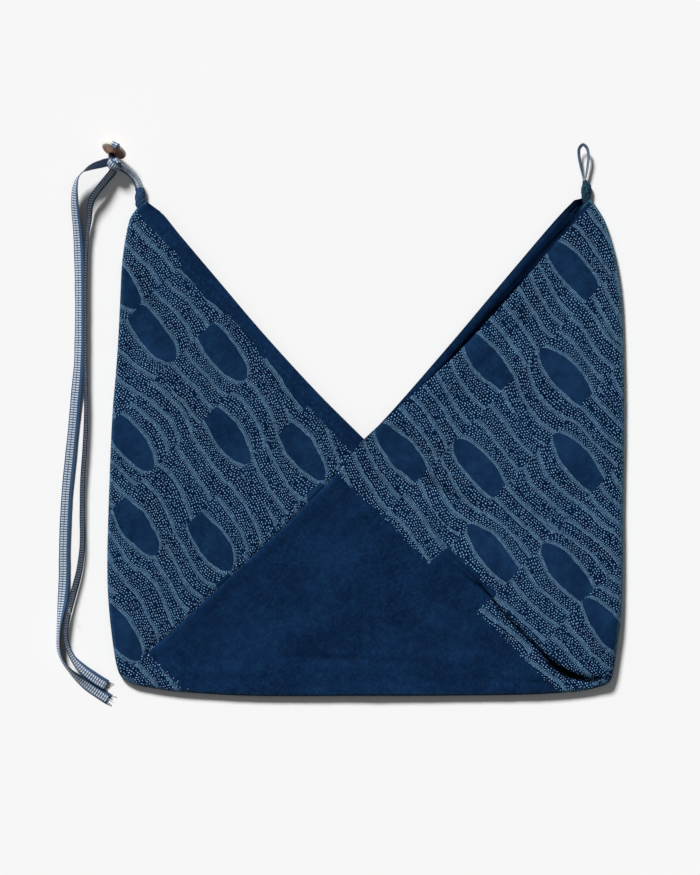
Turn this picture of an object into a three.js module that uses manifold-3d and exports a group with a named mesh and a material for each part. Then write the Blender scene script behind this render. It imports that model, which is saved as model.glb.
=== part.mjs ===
// A knot bag of indigo cotton, laid flat. One long strip is folded on the bias
// into a pouch with a V-shaped mouth between two peaks. A tape tie with a wooden
// button hangs from the left peak, and a thin button loop from the right one.
// Millimetres. The origin is in the middle of the underside, just below the V.
// +Y runs towards the peaks, and +Z is up.
import * as THREE from 'three';
import Module from 'manifold-3d';
import { mergeVertices } from 'three/addons/utils/BufferGeometryUtils.js';

// Driving sizes
const cloth = { thick: 1.1, hemThick: 1.8, rollShare: 0.5, backInset: 2.5, edgeReach: 4 };
const tape = { width: 11, thick: 1, fold: 2.3 };
const button = { radius: 13, thick: 4.6, hole: 3.6, lean: 67, heading: 243, floorGap: 0.4 };
const loopTape = { width: 3.4, thick: 1.2 };
const seat = 0.3;

// Colours
const indigo = 0x12284a;
const paleTape = 0x8d97a6;
const wood = 0x5d3a2a;

// Points of the cloth as it lies: x, y and the height h of its top there
const vNotch = { x: -2, y: 9, h: 8.2 };
const leftMouth = [
  vNotch,
  { x: -49, y: 56, h: 8.4 },
  { x: -103, y: 115, h: 8.6 },
  { x: -148, y: 168, h: 8.4 },
  { x: -186, y: 213, h: 8.6 },
  { x: -206, y: 237, h: 8.4 },
  { x: -220, y: 247, h: 8 },
];
const seamLine = [
  vNotch,
  { x: -36, y: -32, h: 8.4 },
  { x: -129, y: -122, h: 8.6 },
  { x: -170, y: -160, h: 8.4 },
  { x: -208, y: -195, h: 8.2 },
  { x: -245, y: -229, h: 8 },
];
const rightMouth = [
  vNotch,
  { x: 14, y: 23, h: 8.4 },
  { x: 49, y: 56, h: 8.8 },
  { x: 84, y: 88, h: 8.6 },
  { x: 132, y: 139, h: 9 },
  { x: 184, y: 199, h: 9 },
  { x: 212, y: 234, h: 9 },
  { x: 224, y: 250, h: 8.4 },
];
const rightBackMouth = [
  vNotch,
  { x: 14, y: 24, h: 0 },
  { x: 74, y: 92, h: 0 },
  { x: 134, y: 163, h: 0 },
  { x: 192, y: 230, h: 0 },
  { x: 205, y: 243, h: 0 },
  { x: 215, y: 248, h: 0 },
  { x: 224, y: 250, h: 0 },
];
const tuckLine = [
  vNotch,
  { x: 20, y: -25, h: 8.2 },
  { x: 69, y: -97, h: 8.2 },
  { x: 101, y: -128, h: 8.2 },
  { x: 134, y: -160, h: 8.2 },
  { x: 166, y: -193, h: 8.2 },
  { x: 196, y: -221, h: 8.2 },
  { x: 222, y: -231, h: 8.2 },
  { x: 244, y: -234, h: 8.2 },
];

// The folded outline, from the left peak down, along the bottom and up again
const outlineRows = [
  { x: -220, y: 247, h: 8 },
  { x: -230, y: 241, h: 8 },
  { x: -241, y: 213, h: 8.4 },
  { x: -245, y: 168, h: 9 },
  { x: -249, y: 93, h: 8.6 },
  { x: -254, y: 33, h: 8.4 },
  { x: -257.5, y: -52, h: 8.4 },
  { x: -259, y: -112, h: 8.6 },
  { x: -257.5, y: -162, h: 8.4 },
  { x: -253, y: -195, h: 8.2 },
  { x: -245, y: -229, h: 8, corner: 'left' },
  { x: -218, y: -240.5, h: 8 },
  { x: -186, y: -244, h: 8 },
  { x: -126, y: -248, h: 8.2 },
  { x: -16, y: -248.5, h: 8.4 },
  { x: 94, y: -248, h: 8.6 },
  { x: 174, y: -246.5, h: 8.6 },
  { x: 214, y: -243.5, h: 8.6 },
  { x: 234, y: -239, h: 9.4 },
  { x: 244, y: -234, h: 10.6, corner: 'right' },
  { x: 251, y: -202, h: 13.4 },
  { x: 254.5, y: -177, h: 13 },
  { x: 257, y: -132, h: 11 },
  { x: 257.5, y: -52, h: 9.6 },
  { x: 258.5, y: 18, h: 9.2 },
  { x: 258, y: 88, h: 9.2 },
  { x: 255.5, y: 153, h: 9.2 },
  { x: 251, y: 186, h: 9 },
  { x: 243, y: 218, h: 8.8 },
  { x: 233, y: 239, h: 8.6 },
  { x: 224, y: 250, h: 8.4 },
];

// Strips of the cloth that run out from the V along an edge, a seam or a tuck.
// w is the way across from that line, lift the rise of the surface, along the
// place on the outline, all in mm, and hem tells the doubled cloth.
const leftHem = [
  { w: 0, lift: 0, along: 0, hem: 1 },
  { w: 2.5, lift: 0.6, along: 5, hem: 1 },
  { w: 21, lift: 0.5, along: 22, hem: 1 },
  { w: 25, lift: 0, along: 30, hem: 0 },
];
const seam = [
  { w: -8, lift: 0, along: -13, hem: 0 },
  { w: -1.5, lift: 0, along: -4, hem: 0 },
  { w: 0.3, lift: -0.9, along: 0, hem: 0 },
  { w: 2, lift: 0.5, along: 4, hem: 0 },
  { w: 8.5, lift: 0.5, along: 12, hem: 0 },
  { w: 12, lift: 0, along: 18, hem: 0 },
];
const rightHem = [
  { w: -25, lift: 0, along: -32, hem: 0 },
  { w: -21, lift: 0.5, along: -24, hem: 1 },
  { w: -2.5, lift: 0.6, along: -6, hem: 1 },
  { w: 0, lift: 0, along: 0, hem: 1 },
];

// The tuck where the right panel rolls over the bottom one: w is the way across
// when folded, flat the same unfolded, and share the rise from low to high.
const tuck = [
  { w: -9, flat: -7, share: 0, along: -34 },
  { w: 2, flat: -5, share: 0, along: -26 },
  { w: 8, flat: -3, share: 0.05, along: -19 },
  { w: 10.4, flat: -1, share: 0.22, along: -13 },
  { w: 8, flat: 1, share: 0.42, along: -8 },
  { w: 2, flat: 3, share: 0.46, along: -4 },
  { w: -0.6, flat: 5, share: 0.7, along: 0 },
  { w: 2, flat: 7, share: 0.96, along: 5 },
  { w: 9, flat: 10, share: 1, along: 14 },
  { w: 17, flat: 15, share: 1, along: 26 },
];
// Along the tuck, from the V to the corner: heights beside it, and how folded
const tuckRun = [
  { r: 0, low: 8.2, high: 8.2, folded: 0 },
  { r: 0.22, low: 7.8, high: 8.4, folded: 0 },
  { r: 0.37, low: 7.6, high: 9.2, folded: 0 },
  { r: 0.43, low: 7.5, high: 10.8, folded: 0.02 },
  { r: 0.5, low: 7.4, high: 13.6, folded: 0.08 },
  { r: 0.57, low: 7.3, high: 14, folded: 0.5 },
  { r: 0.63, low: 7.3, high: 14, folded: 1 },
  { r: 0.8, low: 7.3, high: 14.1, folded: 1 },
  { r: 0.92, low: 7.3, high: 14.4, folded: 1 },
  { r: 0.95, low: 7.5, high: 13.8, folded: 0.5 },
  { r: 0.975, low: 8, high: 12.4, folded: 0.05 },
  { r: 1, low: 8.8, high: 11, folded: 0 },
];

// Soft ridges and troughs in the top layer: middle, half lengths, turn, height
const softFolds = [
  { x: 62, y: -39, along: 46, across: 9, turn: -28, h: -1 },
  { x: 84, y: -28, along: 40, across: 9, turn: -28, h: 0.6 },
  { x: 20, y: -56, along: 40, across: 14, turn: -55, h: -0.7 },
  { x: -64, y: 45, along: 34, across: 12, turn: 132, h: 0.7 },
  { x: -230, y: 165, along: 30, across: 12, turn: 92, h: 1 },
  { x: -231, y: 92, along: 24, across: 13, turn: 80, h: -0.8 },
  { x: -56, y: -162, along: 52, across: 14, turn: 12, h: -0.7 },
  { x: 57, y: -214, along: 60, across: 14, turn: 2, h: 0.8 },
  { x: -54, y: -208, along: 42, across: 9, turn: 0, h: -0.7 },
  { x: 124, y: 85, along: 44, across: 16, turn: -24, h: 0.8 },
  { x: 154, y: 120, along: 40, across: 13, turn: -30, h: -0.7 },
  { x: 200, y: -60, along: 70, across: 20, turn: -62, h: 0.8 },
];

// How rays leave the V and meet the outline: the run over which a strip widens,
// the run over which a ray turns square to the outline, the share by which a
// hem narrows at its peak, and how late each kind of ray is drawn to its place
const raying = { widening: 50, turnIn: 22, peakDraw: 0.5, stripPull: 6, tuckPull: 14 };

// Shares of the way from the V to where the fold starts, then round the fold
const frontRings = [
  0.045, 0.1, 0.16, 0.23, 0.31, 0.38, 0.44, 0.49, 0.53, 0.57, 0.62, 0.69, 0.77, 0.85, 0.91, 0.95, 0.98, 1,
];
const backRings = [0.1, 0.3, 0.6, 0.85, 1];
const foldRings = [0.65, 0.3, 0.08, 0];
const panelSteps = { left: 12, bottom: 13, right: 12 };

const plan = ({ x, y, h }) => new THREE.Vector3(x, y, h);

function curveThrough(rows, divisions = 40) {
  const curve = new THREE.CatmullRomCurve3(rows.map(plan), false, 'centripetal');
  curve.arcLengthDivisions = divisions * (rows.length - 1);
  return curve;
}

// A value read off a table at r, straight between its rows
function between(rows, r, key) {
  const i = Math.max(1, rows.findIndex((row) => row.r >= r));
  const [a, b] = [rows[i - 1], rows[i]];
  return THREE.MathUtils.mapLinear(r, a.r, b.r, a[key], b[key]);
}

const outlineDivisions = 60;
const outline = curveThrough(outlineRows, outlineDivisions);
const outlineLengths = outline.getLengths();
const outlineLength = outlineLengths[outlineLengths.length - 1];
const cornerAt = (name) =>
  outlineLengths[outlineRows.findIndex((row) => row.corner === name) * outlineDivisions];

function softFoldHeight(x, y) {
  let height = 0;
  for (const fold of softFolds) {
    const turn = THREE.MathUtils.degToRad(fold.turn);
    const dx = x - fold.x;
    const dy = y - fold.y;
    const a = (dx * Math.cos(turn) + dy * Math.sin(turn)) / fold.along;
    const b = (dy * Math.cos(turn) - dx * Math.sin(turn)) / fold.across;
    height += fold.h * Math.exp(-(a * a + b * b));
  }
  return height;
}

const sideways = (curve, r) => {
  const ahead = curve.getTangentAt(r);
  return new THREE.Vector3(-ahead.y, ahead.x, 0).normalize();
};

// A ray runs from the V to a place on the outline. guide gives its line before
// it is drawn to that place, and pull how much of the draw it takes up at r.
// Near the outline every ray turns to meet it squarely.
function makeRay(along, guide, pull, hem) {
  const share = THREE.MathUtils.clamp(along / outlineLength, 0, 1);
  const edge = outline.getPointAt(share);
  const inward = sideways(outline, share);
  const draw = edge.clone().sub(guide(1));
  const length = Math.hypot(edge.x - vNotch.x, edge.y - vNotch.y);
  const roll = cloth.rollShare * edge.z;
  const line = (r) => {
    const point = guide(r).addScaledVector(draw, pull(r));
    const d = (1 - r) * length;
    const square = 1 - THREE.MathUtils.smoothstep(d, roll, raying.turnIn);
    const { x, y } = edge.clone().addScaledVector(inward, d);
    return point.lerp(new THREE.Vector3(x, y, point.z), square);
  };
  return { along, edge, length, line, hem, roll };
}

// A strip widens from nothing at the V to its full width
const fan = (length, r) => Math.min(1, (r * length) / raying.widening);

function stripRays(rows, lineRows, end) {
  const curve = curveThrough(lineRows);
  const length = curve.getLength();
  return rows.map((row) => {
    const guide = (r) => {
      const spread = fan(length, r) * (1 - row.hem * raying.peakDraw * r ** 8);
      const point = curve.getPointAt(r).addScaledVector(sideways(curve, r), row.w * spread);
      point.z += row.lift * spread;
      return point;
    };
    return makeRay(end + row.along, guide, (r) => r ** raying.stripPull, row.hem);
  });
}

function tuckRays(end) {
  const curve = curveThrough(tuckLine);
  const length = curve.getLength();
  return tuck.map((row) => {
    // Rays that end before the corner run shorter
    const reach = Math.min(0, row.along) / length;
    const guide = (r) => {
      const u = r * (1 + reach * r ** 3);
      const folded = between(tuckRun, r, 'folded');
      const low = between(tuckRun, r, 'low');
      const high = between(tuckRun, r, 'high');
      const across = THREE.MathUtils.lerp(row.flat, row.w, folded) * fan(length, r);
      const point = curve.getPointAt(u).addScaledVector(sideways(curve, u), across);
      point.z = THREE.MathUtils.lerp(low, high, row.share);
      return point;
    };
    return makeRay(end + row.along, guide, (r) => r ** raying.tuckPull, 0);
  });
}

// Rays between two others, spaced along the outline between them
function panelRays(from, to, steps) {
  const rays = [];
  for (let i = 1; i < steps; i += 1) {
    const q = i / steps;
    const guide = (r) => from.line(r).lerp(to.line(r), q);
    rays.push(makeRay(THREE.MathUtils.lerp(from.along, to.along, q), guide, (r) => r, 0));
  }
  return rays;
}

function allRays() {
  const hemLeft = stripRays(leftHem, leftMouth, 0);
  const seamRays = stripRays(seam, seamLine, cornerAt('left'));
  const fold = tuckRays(cornerAt('right'));
  const hemRight = stripRays(rightHem, rightMouth, outlineLength);
  return [
    ...hemLeft,
    ...panelRays(hemLeft.at(-1), seamRays[0], panelSteps.left),
    ...seamRays,
    ...panelRays(seamRays.at(-1), fold[0], panelSteps.bottom),
    ...fold,
    ...panelRays(fold.at(-1), hemRight[0], panelSteps.right),
    ...hemRight,
  ];
}

// The quarter round by which the cloth turns over at its outline
const turnover = (d) => Math.sqrt(1 - (1 - THREE.MathUtils.clamp(d, 0, 1)) ** 2);

function frontPoint(ray, r) {
  const point = ray.line(r);
  const middle = ray.edge.z / 2;
  const top = point.z + softFoldHeight(point.x, point.y) * Math.min(1, r * 8);
  point.z = middle + (top - middle) * turnover(((1 - r) * ray.length) / ray.roll);
  return point;
}

// The back layer runs straight out from the V, and bows to its mouth edges
const backLeft = curveThrough(leftMouth);
const backRight = curveThrough(rightBackMouth);

function bow(curve, r) {
  const straight = curve.getPointAt(0).lerp(curve.getPointAt(1), r);
  return curve.getPointAt(r).sub(straight);
}

function backPoint(ray, r) {
  const q = ray.along / outlineLength;
  const point = plan(vNotch).lerp(ray.edge, r);
  const inset = cloth.backInset * fan(backLeft.getLength(), r) * (1 - r);
  const left = bow(backLeft, r).addScaledVector(sideways(backLeft, r), inset);
  point.addScaledVector(left, (1 - q) ** cloth.edgeReach);
  point.addScaledVector(bow(backRight, r), q ** cloth.edgeReach);
  const middle = ray.edge.z / 2;
  point.z = middle * (1 - turnover(((1 - r) * ray.length) / ray.roll));
  return point;
}

// Rows of points along every ray, from the V outwards, without the shared edge
function layer(rays, shares, pointAt) {
  return rays.map((ray) => {
    const flatShare = 1 - ray.roll / ray.length;
    const steps = shares.map((share) => share * flatShare);
    const rounds = foldRings.slice(0, -1).map((d) => 1 - (d * ray.roll) / ray.length);
    return [...steps, ...rounds].map((r) => pointAt(ray, r));
  });
}

// The pouch: outer skin, and the same skin drawn in by the cloth's thickness
function bagGeometry() {
  const rays = allRays();
  const points = [];
  const thickness = [];
  const add = (point, thick) => {
    thickness.push(thick);
    return points.push(point) - 1;
  };
  const thickOf = (ray) => THREE.MathUtils.lerp(cloth.thick, cloth.hemThick, ray.hem);
  const edge = rays.map((ray) => add(frontPoint(ray, 1), thickOf(ray)));
  const skin = (shares, pointAt, tip) => {
    const apex = add(tip, cloth.hemThick);
    const grid = layer(rays, shares, pointAt).map((row, i) => {
      const thick = thickOf(rays[i]);
      return [...row.map((point) => add(point, thick)), edge[i]];
    });
    return { apex, grid };
  };
  const front = skin(frontRings, frontPoint, plan(vNotch));
  const back = skin(backRings, backPoint, new THREE.Vector3(vNotch.x, vNotch.y, 0));

  const faces = [];
  const quad = (a, b, c, d) => faces.push([a, b, c], [a, c, d]);
  const weave = ({ apex, grid }, up) => {
    for (let i = 0; i + 1 < grid.length; i += 1) {
      const [a, b] = up ? [grid[i], grid[i + 1]] : [grid[i + 1], grid[i]];
      faces.push([apex, a[0], b[0]]);
      for (let k = 0; k + 1 < a.length; k += 1) quad(a[k], a[k + 1], b[k + 1], b[k]);
    }
  };
  weave(front, true);
  weave(back, false);

  const normals = points.map(() => new THREE.Vector3());
  for (const [a, b, c] of faces) {
    const ab = points[b].clone().sub(points[a]);
    const normal = ab.cross(points[c].clone().sub(points[a]));
    for (const i of [a, b, c]) normals[i].add(normal);
  }
  const count = points.length;
  for (let i = 0; i < count; i += 1) {
    points.push(points[i].clone().addScaledVector(normals[i].normalize(), -thickness[i]));
  }
  const outerFaces = faces.length;
  for (let i = 0; i < outerFaces; i += 1) {
    const [a, b, c] = faces[i];
    faces.push([a + count, c + count, b + count]);
  }
  const rim = ({ apex, grid }, up) => {
    for (const [row, flip] of [[grid[0], up], [grid.at(-1), !up]]) {
      const line = [apex, ...row];
      for (let k = 0; k + 1 < line.length; k += 1) {
        const [a, b] = flip ? [line[k], line[k + 1]] : [line[k + 1], line[k]];
        quad(b, a, a + count, b + count);
      }
    }
  };
  rim(front, true);
  rim(back, false);
  return geometryFrom(points, faces);
}

function geometryFrom(points, faces) {
  const geometry = new THREE.BufferGeometry();
  const places = points.flatMap(({ x, y, z }) => [x, y, z]);
  geometry.setAttribute('position', new THREE.Float32BufferAttribute(places, 3));
  geometry.setIndex(faces.flat());
  geometry.computeVertexNormals();
  return geometry;
}

// A closed skin through a row of sections, each a ring of points
function loft(sections) {
  const sides = sections[0].length;
  const points = sections.flat();
  const faces = [];
  const last = (sections.length - 1) * sides;
  for (let i = 1; i < sides - 1; i += 1) {
    faces.push([0, i, i + 1], [last, last + i + 1, last + i]);
  }
  for (let s = 0; s + 1 < sections.length; s += 1) {
    for (let i = 0; i < sides; i += 1) {
      const [a, b] = [s * sides + i, s * sides + ((i + 1) % sides)];
      faces.push([a, b + sides, b], [a, a + sides, b + sides]);
    }
  }
  return geometryFrom(points, faces);
}

const routeThrough = (rows) =>
  new THREE.CatmullRomCurve3(rows.map(({ x, y, z }) => new THREE.Vector3(x, y, z)), false, 'centripetal');

// A flat tape laid along a route. tilt is the turn of its width from the level.
const sectionsPerRow = 2;
const tapeSection = [
  [0.5, -0.2], [0.5, 0.2], [0.42, 0.5], [-0.42, 0.5],
  [-0.5, 0.2], [-0.5, -0.2], [-0.42, -0.5], [0.42, -0.5],
];

function tapeAlong(rows, width, thick) {
  const curve = routeThrough(rows);
  const tilts = new THREE.SplineCurve(rows.map(({ tilt }, i) => new THREE.Vector2(i, tilt)));
  const sections = [];
  const steps = sectionsPerRow * (rows.length - 1);
  for (let s = 0; s <= steps; s += 1) {
    const t = s / steps;
    const centre = curve.getPoint(t);
    const ahead = curve.getTangent(t);
    const level = new THREE.Vector3(ahead.y, -ahead.x, 0).normalize();
    const across = level.applyAxisAngle(ahead, THREE.MathUtils.degToRad(tilts.getPoint(t).y));
    const out = across.clone().cross(ahead);
    sections.push(tapeSection.map(([a, b]) =>
      centre.clone().addScaledVector(across, a * width).addScaledVector(out, b * thick)));
  }
  return loft(sections);
}

// A soft lump or tube lofted from oval sections across a route
function ovalAlong(rows, sides = 12) {
  const curve = routeThrough(rows);
  return loft(rows.map(({ x, y, z, width, height }, i) => {
    const ahead = curve.getTangent(i / (rows.length - 1));
    const across = new THREE.Vector3(ahead.y, -ahead.x, 0).normalize();
    const up = across.clone().cross(ahead).normalize();
    return Array.from({ length: sides }, (_, k) => {
      const turn = (2 * Math.PI * k) / sides;
      return new THREE.Vector3(x, y, z)
        .addScaledVector(across, (width / 2) * Math.cos(turn))
        .addScaledVector(up, (height / 2) * Math.sin(turn));
    });
  }));
}

// Solids joined or cut
const wasm = await Module();
wasm.setup();

function solidOf(geometry) {
  const bare = geometry.clone();
  bare.deleteAttribute('normal');
  if (bare.hasAttribute('uv')) bare.deleteAttribute('uv');
  const merged = mergeVertices(bare, 1e-4);
  const mesh = new wasm.Mesh({
    numProp: 3,
    vertProperties: new Float32Array(merged.attributes.position.array),
    triVerts: new Uint32Array(merged.index.array),
  });
  return new wasm.Manifold(mesh);
}

function geometryOf(solid) {
  const { vertProperties, triVerts } = solid.getMesh();
  const geometry = new THREE.BufferGeometry();
  geometry.setAttribute('position', new THREE.BufferAttribute(new Float32Array(vertProperties), 3));
  geometry.setIndex(new THREE.BufferAttribute(new Uint32Array(triVerts), 1));
  geometry.computeVertexNormals();
  return geometry;
}

const joined = (geometries) => geometryOf(geometries.map(solidOf).reduce((a, b) => a.add(b)));

// Where the button stands: its middle, and the way its knot side faces
const buttonLean = THREE.MathUtils.degToRad(button.lean);
const buttonHeading = THREE.MathUtils.degToRad(button.heading);
const buttonFace = new THREE.Vector3(
  Math.cos(buttonHeading) * Math.sin(buttonLean),
  Math.sin(buttonHeading) * Math.sin(buttonLean),
  Math.cos(buttonLean),
);
const buttonRise = button.radius * Math.sin(buttonLean) + (button.thick / 2) * Math.cos(buttonLean);
const buttonMiddle = new THREE.Vector3(-251.4, 297.5, buttonRise + button.floorGap);
const buttonTurn = new THREE.Quaternion().setFromUnitVectors(new THREE.Vector3(0, 1, 0), buttonFace);
const besideButton = (distance) => buttonMiddle.clone().addScaledVector(buttonFace, distance);

function buttonGeometry() {
  const { radius, thick, hole } = button;
  const half = thick / 2;
  const profile = [
    [hole, -half + 0.7], [hole + 0.7, -half], [radius - 4, -half], [radius - 1.2, -half + 0.6],
    [radius, -0.4], [radius, 0.6], [radius - 0.8, half], [radius - 2.4, half],
    [radius - 4.4, half - 0.9], [hole + 0.7, half - 0.9], [hole, half - 1.5],
  ].map(([x, y]) => new THREE.Vector2(x, y));
  profile.push(profile[0].clone());
  const geometry = new THREE.LatheGeometry(profile, 28);
  return geometry.applyQuaternion(buttonTurn).translate(...buttonMiddle);
}

// The doubled tape out of the tab, its knot, and the neck through the button
const knotMiddle = new THREE.Vector3(-251, 283.4, 12);
const bandRoute = [
  { x: -226.6, y: 260.6, z: 5.2, tilt: -20 },
  { x: -228.9, y: 267.4, z: 6.8, tilt: -36 },
  { x: -235.2, y: 274.8, z: 8.6, tilt: -44 },
  { x: -242.5, y: 280, z: 10.6, tilt: -40 },
  { x: -249, y: 282.6, z: 11.6, tilt: -30 },
];

const knotCore = { wide: 7, deep: 5.6, high: 5.2, turn: -0.4 };
const knotWraps = [
  { turn: 35, lean: 62 },
  { turn: -40, lean: 108 },
];
const wrapTape = { radius: 6, thick: 1.6, oval: 0.86, broad: 1.7 };
const neckWidth = 2 * (button.hole - seat) - 0.2;
const knotStop = { wide: 6, deep: 2.8, high: 4.2 };

function knotWrap({ turn, lean }) {
  const wrap = new THREE.TorusGeometry(wrapTape.radius, wrapTape.thick, 8, 18);
  wrap.scale(1, wrapTape.oval, wrapTape.broad);
  wrap.rotateX(THREE.MathUtils.degToRad(lean)).rotateZ(THREE.MathUtils.degToRad(turn));
  return wrap.translate(...knotMiddle);
}

function knotGeometry() {
  const core = new THREE.SphereGeometry(1, 14, 9);
  core.scale(knotCore.wide, knotCore.deep, knotCore.high);
  core.rotateZ(knotCore.turn).translate(...knotMiddle);
  const backFace = -button.thick / 2;
  const stopDistance = backFace - seat - knotStop.deep;
  const neckPoints = [stopDistance, 0, button.thick].map(besideButton);
  neckPoints.push(knotMiddle);
  const round = ({ x, y, z }) => ({ x, y, z, width: neckWidth, height: neckWidth });
  const neck = ovalAlong(neckPoints.map(round));
  const stop = new THREE.SphereGeometry(1, 12, 8);
  stop.scale(knotStop.wide, knotStop.deep, knotStop.high).applyQuaternion(buttonTurn);
  stop.translate(...besideButton(stopDistance));
  return joined([
    tapeAlong(bandRoute, tape.width, tape.fold),
    core,
    ...knotWraps.map(knotWrap),
    neck,
    stop,
  ]);
}

// The two tails of the tie, from the knot down to their frayed ends
const leftTail = [
  { x: -259.6, y: 284.9, z: 13, tilt: 55 },
  { x: -264, y: 283.4, z: 15.5, tilt: 58 },
  { x: -270, y: 281.4, z: 17.6, tilt: 62 },
  { x: -276.5, y: 278.6, z: 18.4, tilt: 70 },
  { x: -283, y: 274.6, z: 18, tilt: 84 },
  { x: -287.6, y: 268.6, z: 16.8, tilt: 72 },
  { x: -290.2, y: 260, z: 14.6, tilt: 56 },
  { x: -290.9, y: 248, z: 11.4, tilt: 45 },
  { x: -290.2, y: 233, z: 7.4, tilt: 40 },
  { x: -288.8, y: 217, z: 4, tilt: 30 },
  { x: -287.4, y: 198, z: 2.2, tilt: 16 },
  { x: -286.6, y: 173, z: 1.4, tilt: 8 },
  { x: -286.4, y: 118, z: 1.2, tilt: 6 },
  { x: -287.6, y: 83, z: 1.2, tilt: 6 },
  { x: -290.8, y: 48, z: 1.1, tilt: 5 },
  { x: -293.4, y: 18, z: 1.1, tilt: 4 },
  { x: -296.4, y: -12, z: 1.1, tilt: 4 },
  { x: -299.4, y: -42, z: 1.1, tilt: 4 },
  { x: -301.2, y: -72, z: 1.1, tilt: 4 },
  { x: -302.2, y: -102, z: 1.1, tilt: 4 },
  { x: -302.6, y: -132, z: 1.3, tilt: 8 },
  { x: -304, y: -152, z: 2.4, tilt: 24 },
  { x: -306, y: -168, z: 4.6, tilt: 52 },
  { x: -307.6, y: -184, z: 5.6, tilt: 66 },
  { x: -307.4, y: -202, z: 5.6, tilt: 68 },
  { x: -303.6, y: -213, z: 5.6, tilt: 72 },
  { x: -296.2, y: -222.6, z: 5.2, tilt: 64 },
  { x: -290.4, y: -228.2, z: 4.4, tilt: 48 },
  { x: -284.6, y: -233, z: 3, tilt: 28 },
  { x: -278, y: -238, z: 1.8, tilt: 12 },
  { x: -271, y: -243, z: 1, tilt: 3 },
  { x: -258, y: -251.4, z: 0.9, tilt: 0 },
];
const rightTail = [
  { x: -254.4, y: 274.6, z: 8.4, tilt: -34 },
  { x: -257.8, y: 270.4, z: 9.8, tilt: -48 },
  { x: -262.6, y: 264.2, z: 11, tilt: -56 },
  { x: -268, y: 257.4, z: 11.4, tilt: -58 },
  { x: -273.4, y: 249.6, z: 10.4, tilt: -60 },
  { x: -276.2, y: 240, z: 8.6, tilt: -64 },
  { x: -277, y: 228, z: 6.8, tilt: -68 },
  { x: -278.6, y: 216, z: 6, tilt: -72 },
  { x: -279.4, y: 198, z: 5.8, tilt: -76 },
  { x: -279.8, y: 168, z: 5.8, tilt: -76 },
  { x: -279.8, y: 118, z: 5.8, tilt: -76 },
  { x: -280, y: 78, z: 5.8, tilt: -74 },
  { x: -279.6, y: 38, z: 5.8, tilt: -72 },
  { x: -281.4, y: -2, z: 5.7, tilt: -70 },
  { x: -283.4, y: -32, z: 5.7, tilt: -68 },
  { x: -283.8, y: -64, z: 5.7, tilt: -66 },
  { x: -283.8, y: -98, z: 5.6, tilt: -64 },
  { x: -286.4, y: -121, z: 5.6, tilt: -60 },
  { x: -291, y: -139, z: 5.6, tilt: -58 },
  { x: -295.4, y: -156, z: 5.8, tilt: -60 },
  { x: -299, y: -172, z: 6.2, tilt: -66 },
  { x: -300.4, y: -188, z: 6, tilt: -70 },
  { x: -297.4, y: -202, z: 5.6, tilt: -70 },
  { x: -292, y: -212, z: 5.2, tilt: -60 },
  { x: -283.6, y: -221, z: 5, tilt: -36 },
  { x: -272.6, y: -229.6, z: 3.6, tilt: -12 },
  { x: -260, y: -237.6, z: 2.8, tilt: -4 },
];

// The tabs of cloth at the peaks
const leftTabSections = [
  { x: -225.9, y: 245.9, z: 4.4, width: 10.4, height: 6 },
  { x: -226.5, y: 248.4, z: 4.5, width: 10.4, height: 6.8 },
  { x: -226.2, y: 252, z: 4.6, width: 9.6, height: 6.8 },
  { x: -226, y: 256, z: 4.8, width: 9, height: 6.4 },
  { x: -226.4, y: 259.4, z: 5, width: 8.8, height: 5.2 },
];
const rightTabSections = [
  { x: 219.4, y: 251, z: 4.5, width: 8.4, height: 5.8 },
  { x: 220.2, y: 255.4, z: 4.6, width: 9.8, height: 7.4 },
  { x: 220.6, y: 260, z: 4.7, width: 10.4, height: 8 },
  { x: 220.4, y: 263.6, z: 4.7, width: 7.8, height: 7.4 },
  { x: 219, y: 267.4, z: 4.6, width: 4.6, height: 5.4 },
];

// The thin loop that the button goes through
const loopRoute = [
  { x: 217.6, y: 268.4, z: 4.6, tilt: 84 },
  { x: 216.4, y: 275, z: 4.8, tilt: 66 },
  { x: 214.6, y: 284, z: 5.2, tilt: 40 },
  { x: 213.1, y: 293, z: 6, tilt: 30 },
  { x: 213.3, y: 299.6, z: 7.2, tilt: 25 },
  { x: 217, y: 303.4, z: 8, tilt: 25 },
  { x: 220.8, y: 300.4, z: 8, tilt: 40 },
  { x: 222.6, y: 293, z: 7.4, tilt: 55 },
  { x: 222, y: 284, z: 6.4, tilt: 60 },
  { x: 220.8, y: 275, z: 5.4, tilt: 70 },
  { x: 220.2, y: 268.6, z: 4.6, tilt: 84 },
];

const group = new THREE.Group();

function place(name, geometry, color, roughness) {
  const material = new THREE.MeshStandardMaterial({ color, roughness, metalness: 0 });
  const mesh = new THREE.Mesh(geometry, material);
  mesh.name = name;
  group.add(mesh);
}

place('bag_cloth', bagGeometry(), indigo, 0.9);
place('left_tab', ovalAlong(leftTabSections), indigo, 0.9);
place('right_tab', ovalAlong(rightTabSections), indigo, 0.9);
place('tie_knot', knotGeometry(), paleTape, 0.85);
place('tie_left_tail', tapeAlong(leftTail, tape.width, tape.thick), paleTape, 0.85);
place('tie_right_tail', tapeAlong(rightTail, tape.width, tape.thick), paleTape, 0.85);
place('button', buttonGeometry(), wood, 0.45);
place('button_loop', tapeAlong(loopRoute, loopTape.width, loopTape.thick), indigo, 0.85);

export default group;
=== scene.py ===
# A knot bag of indigo cotton lying flat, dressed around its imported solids
import math
import bpy
import numpy as np
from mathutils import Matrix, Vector, noise


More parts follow.
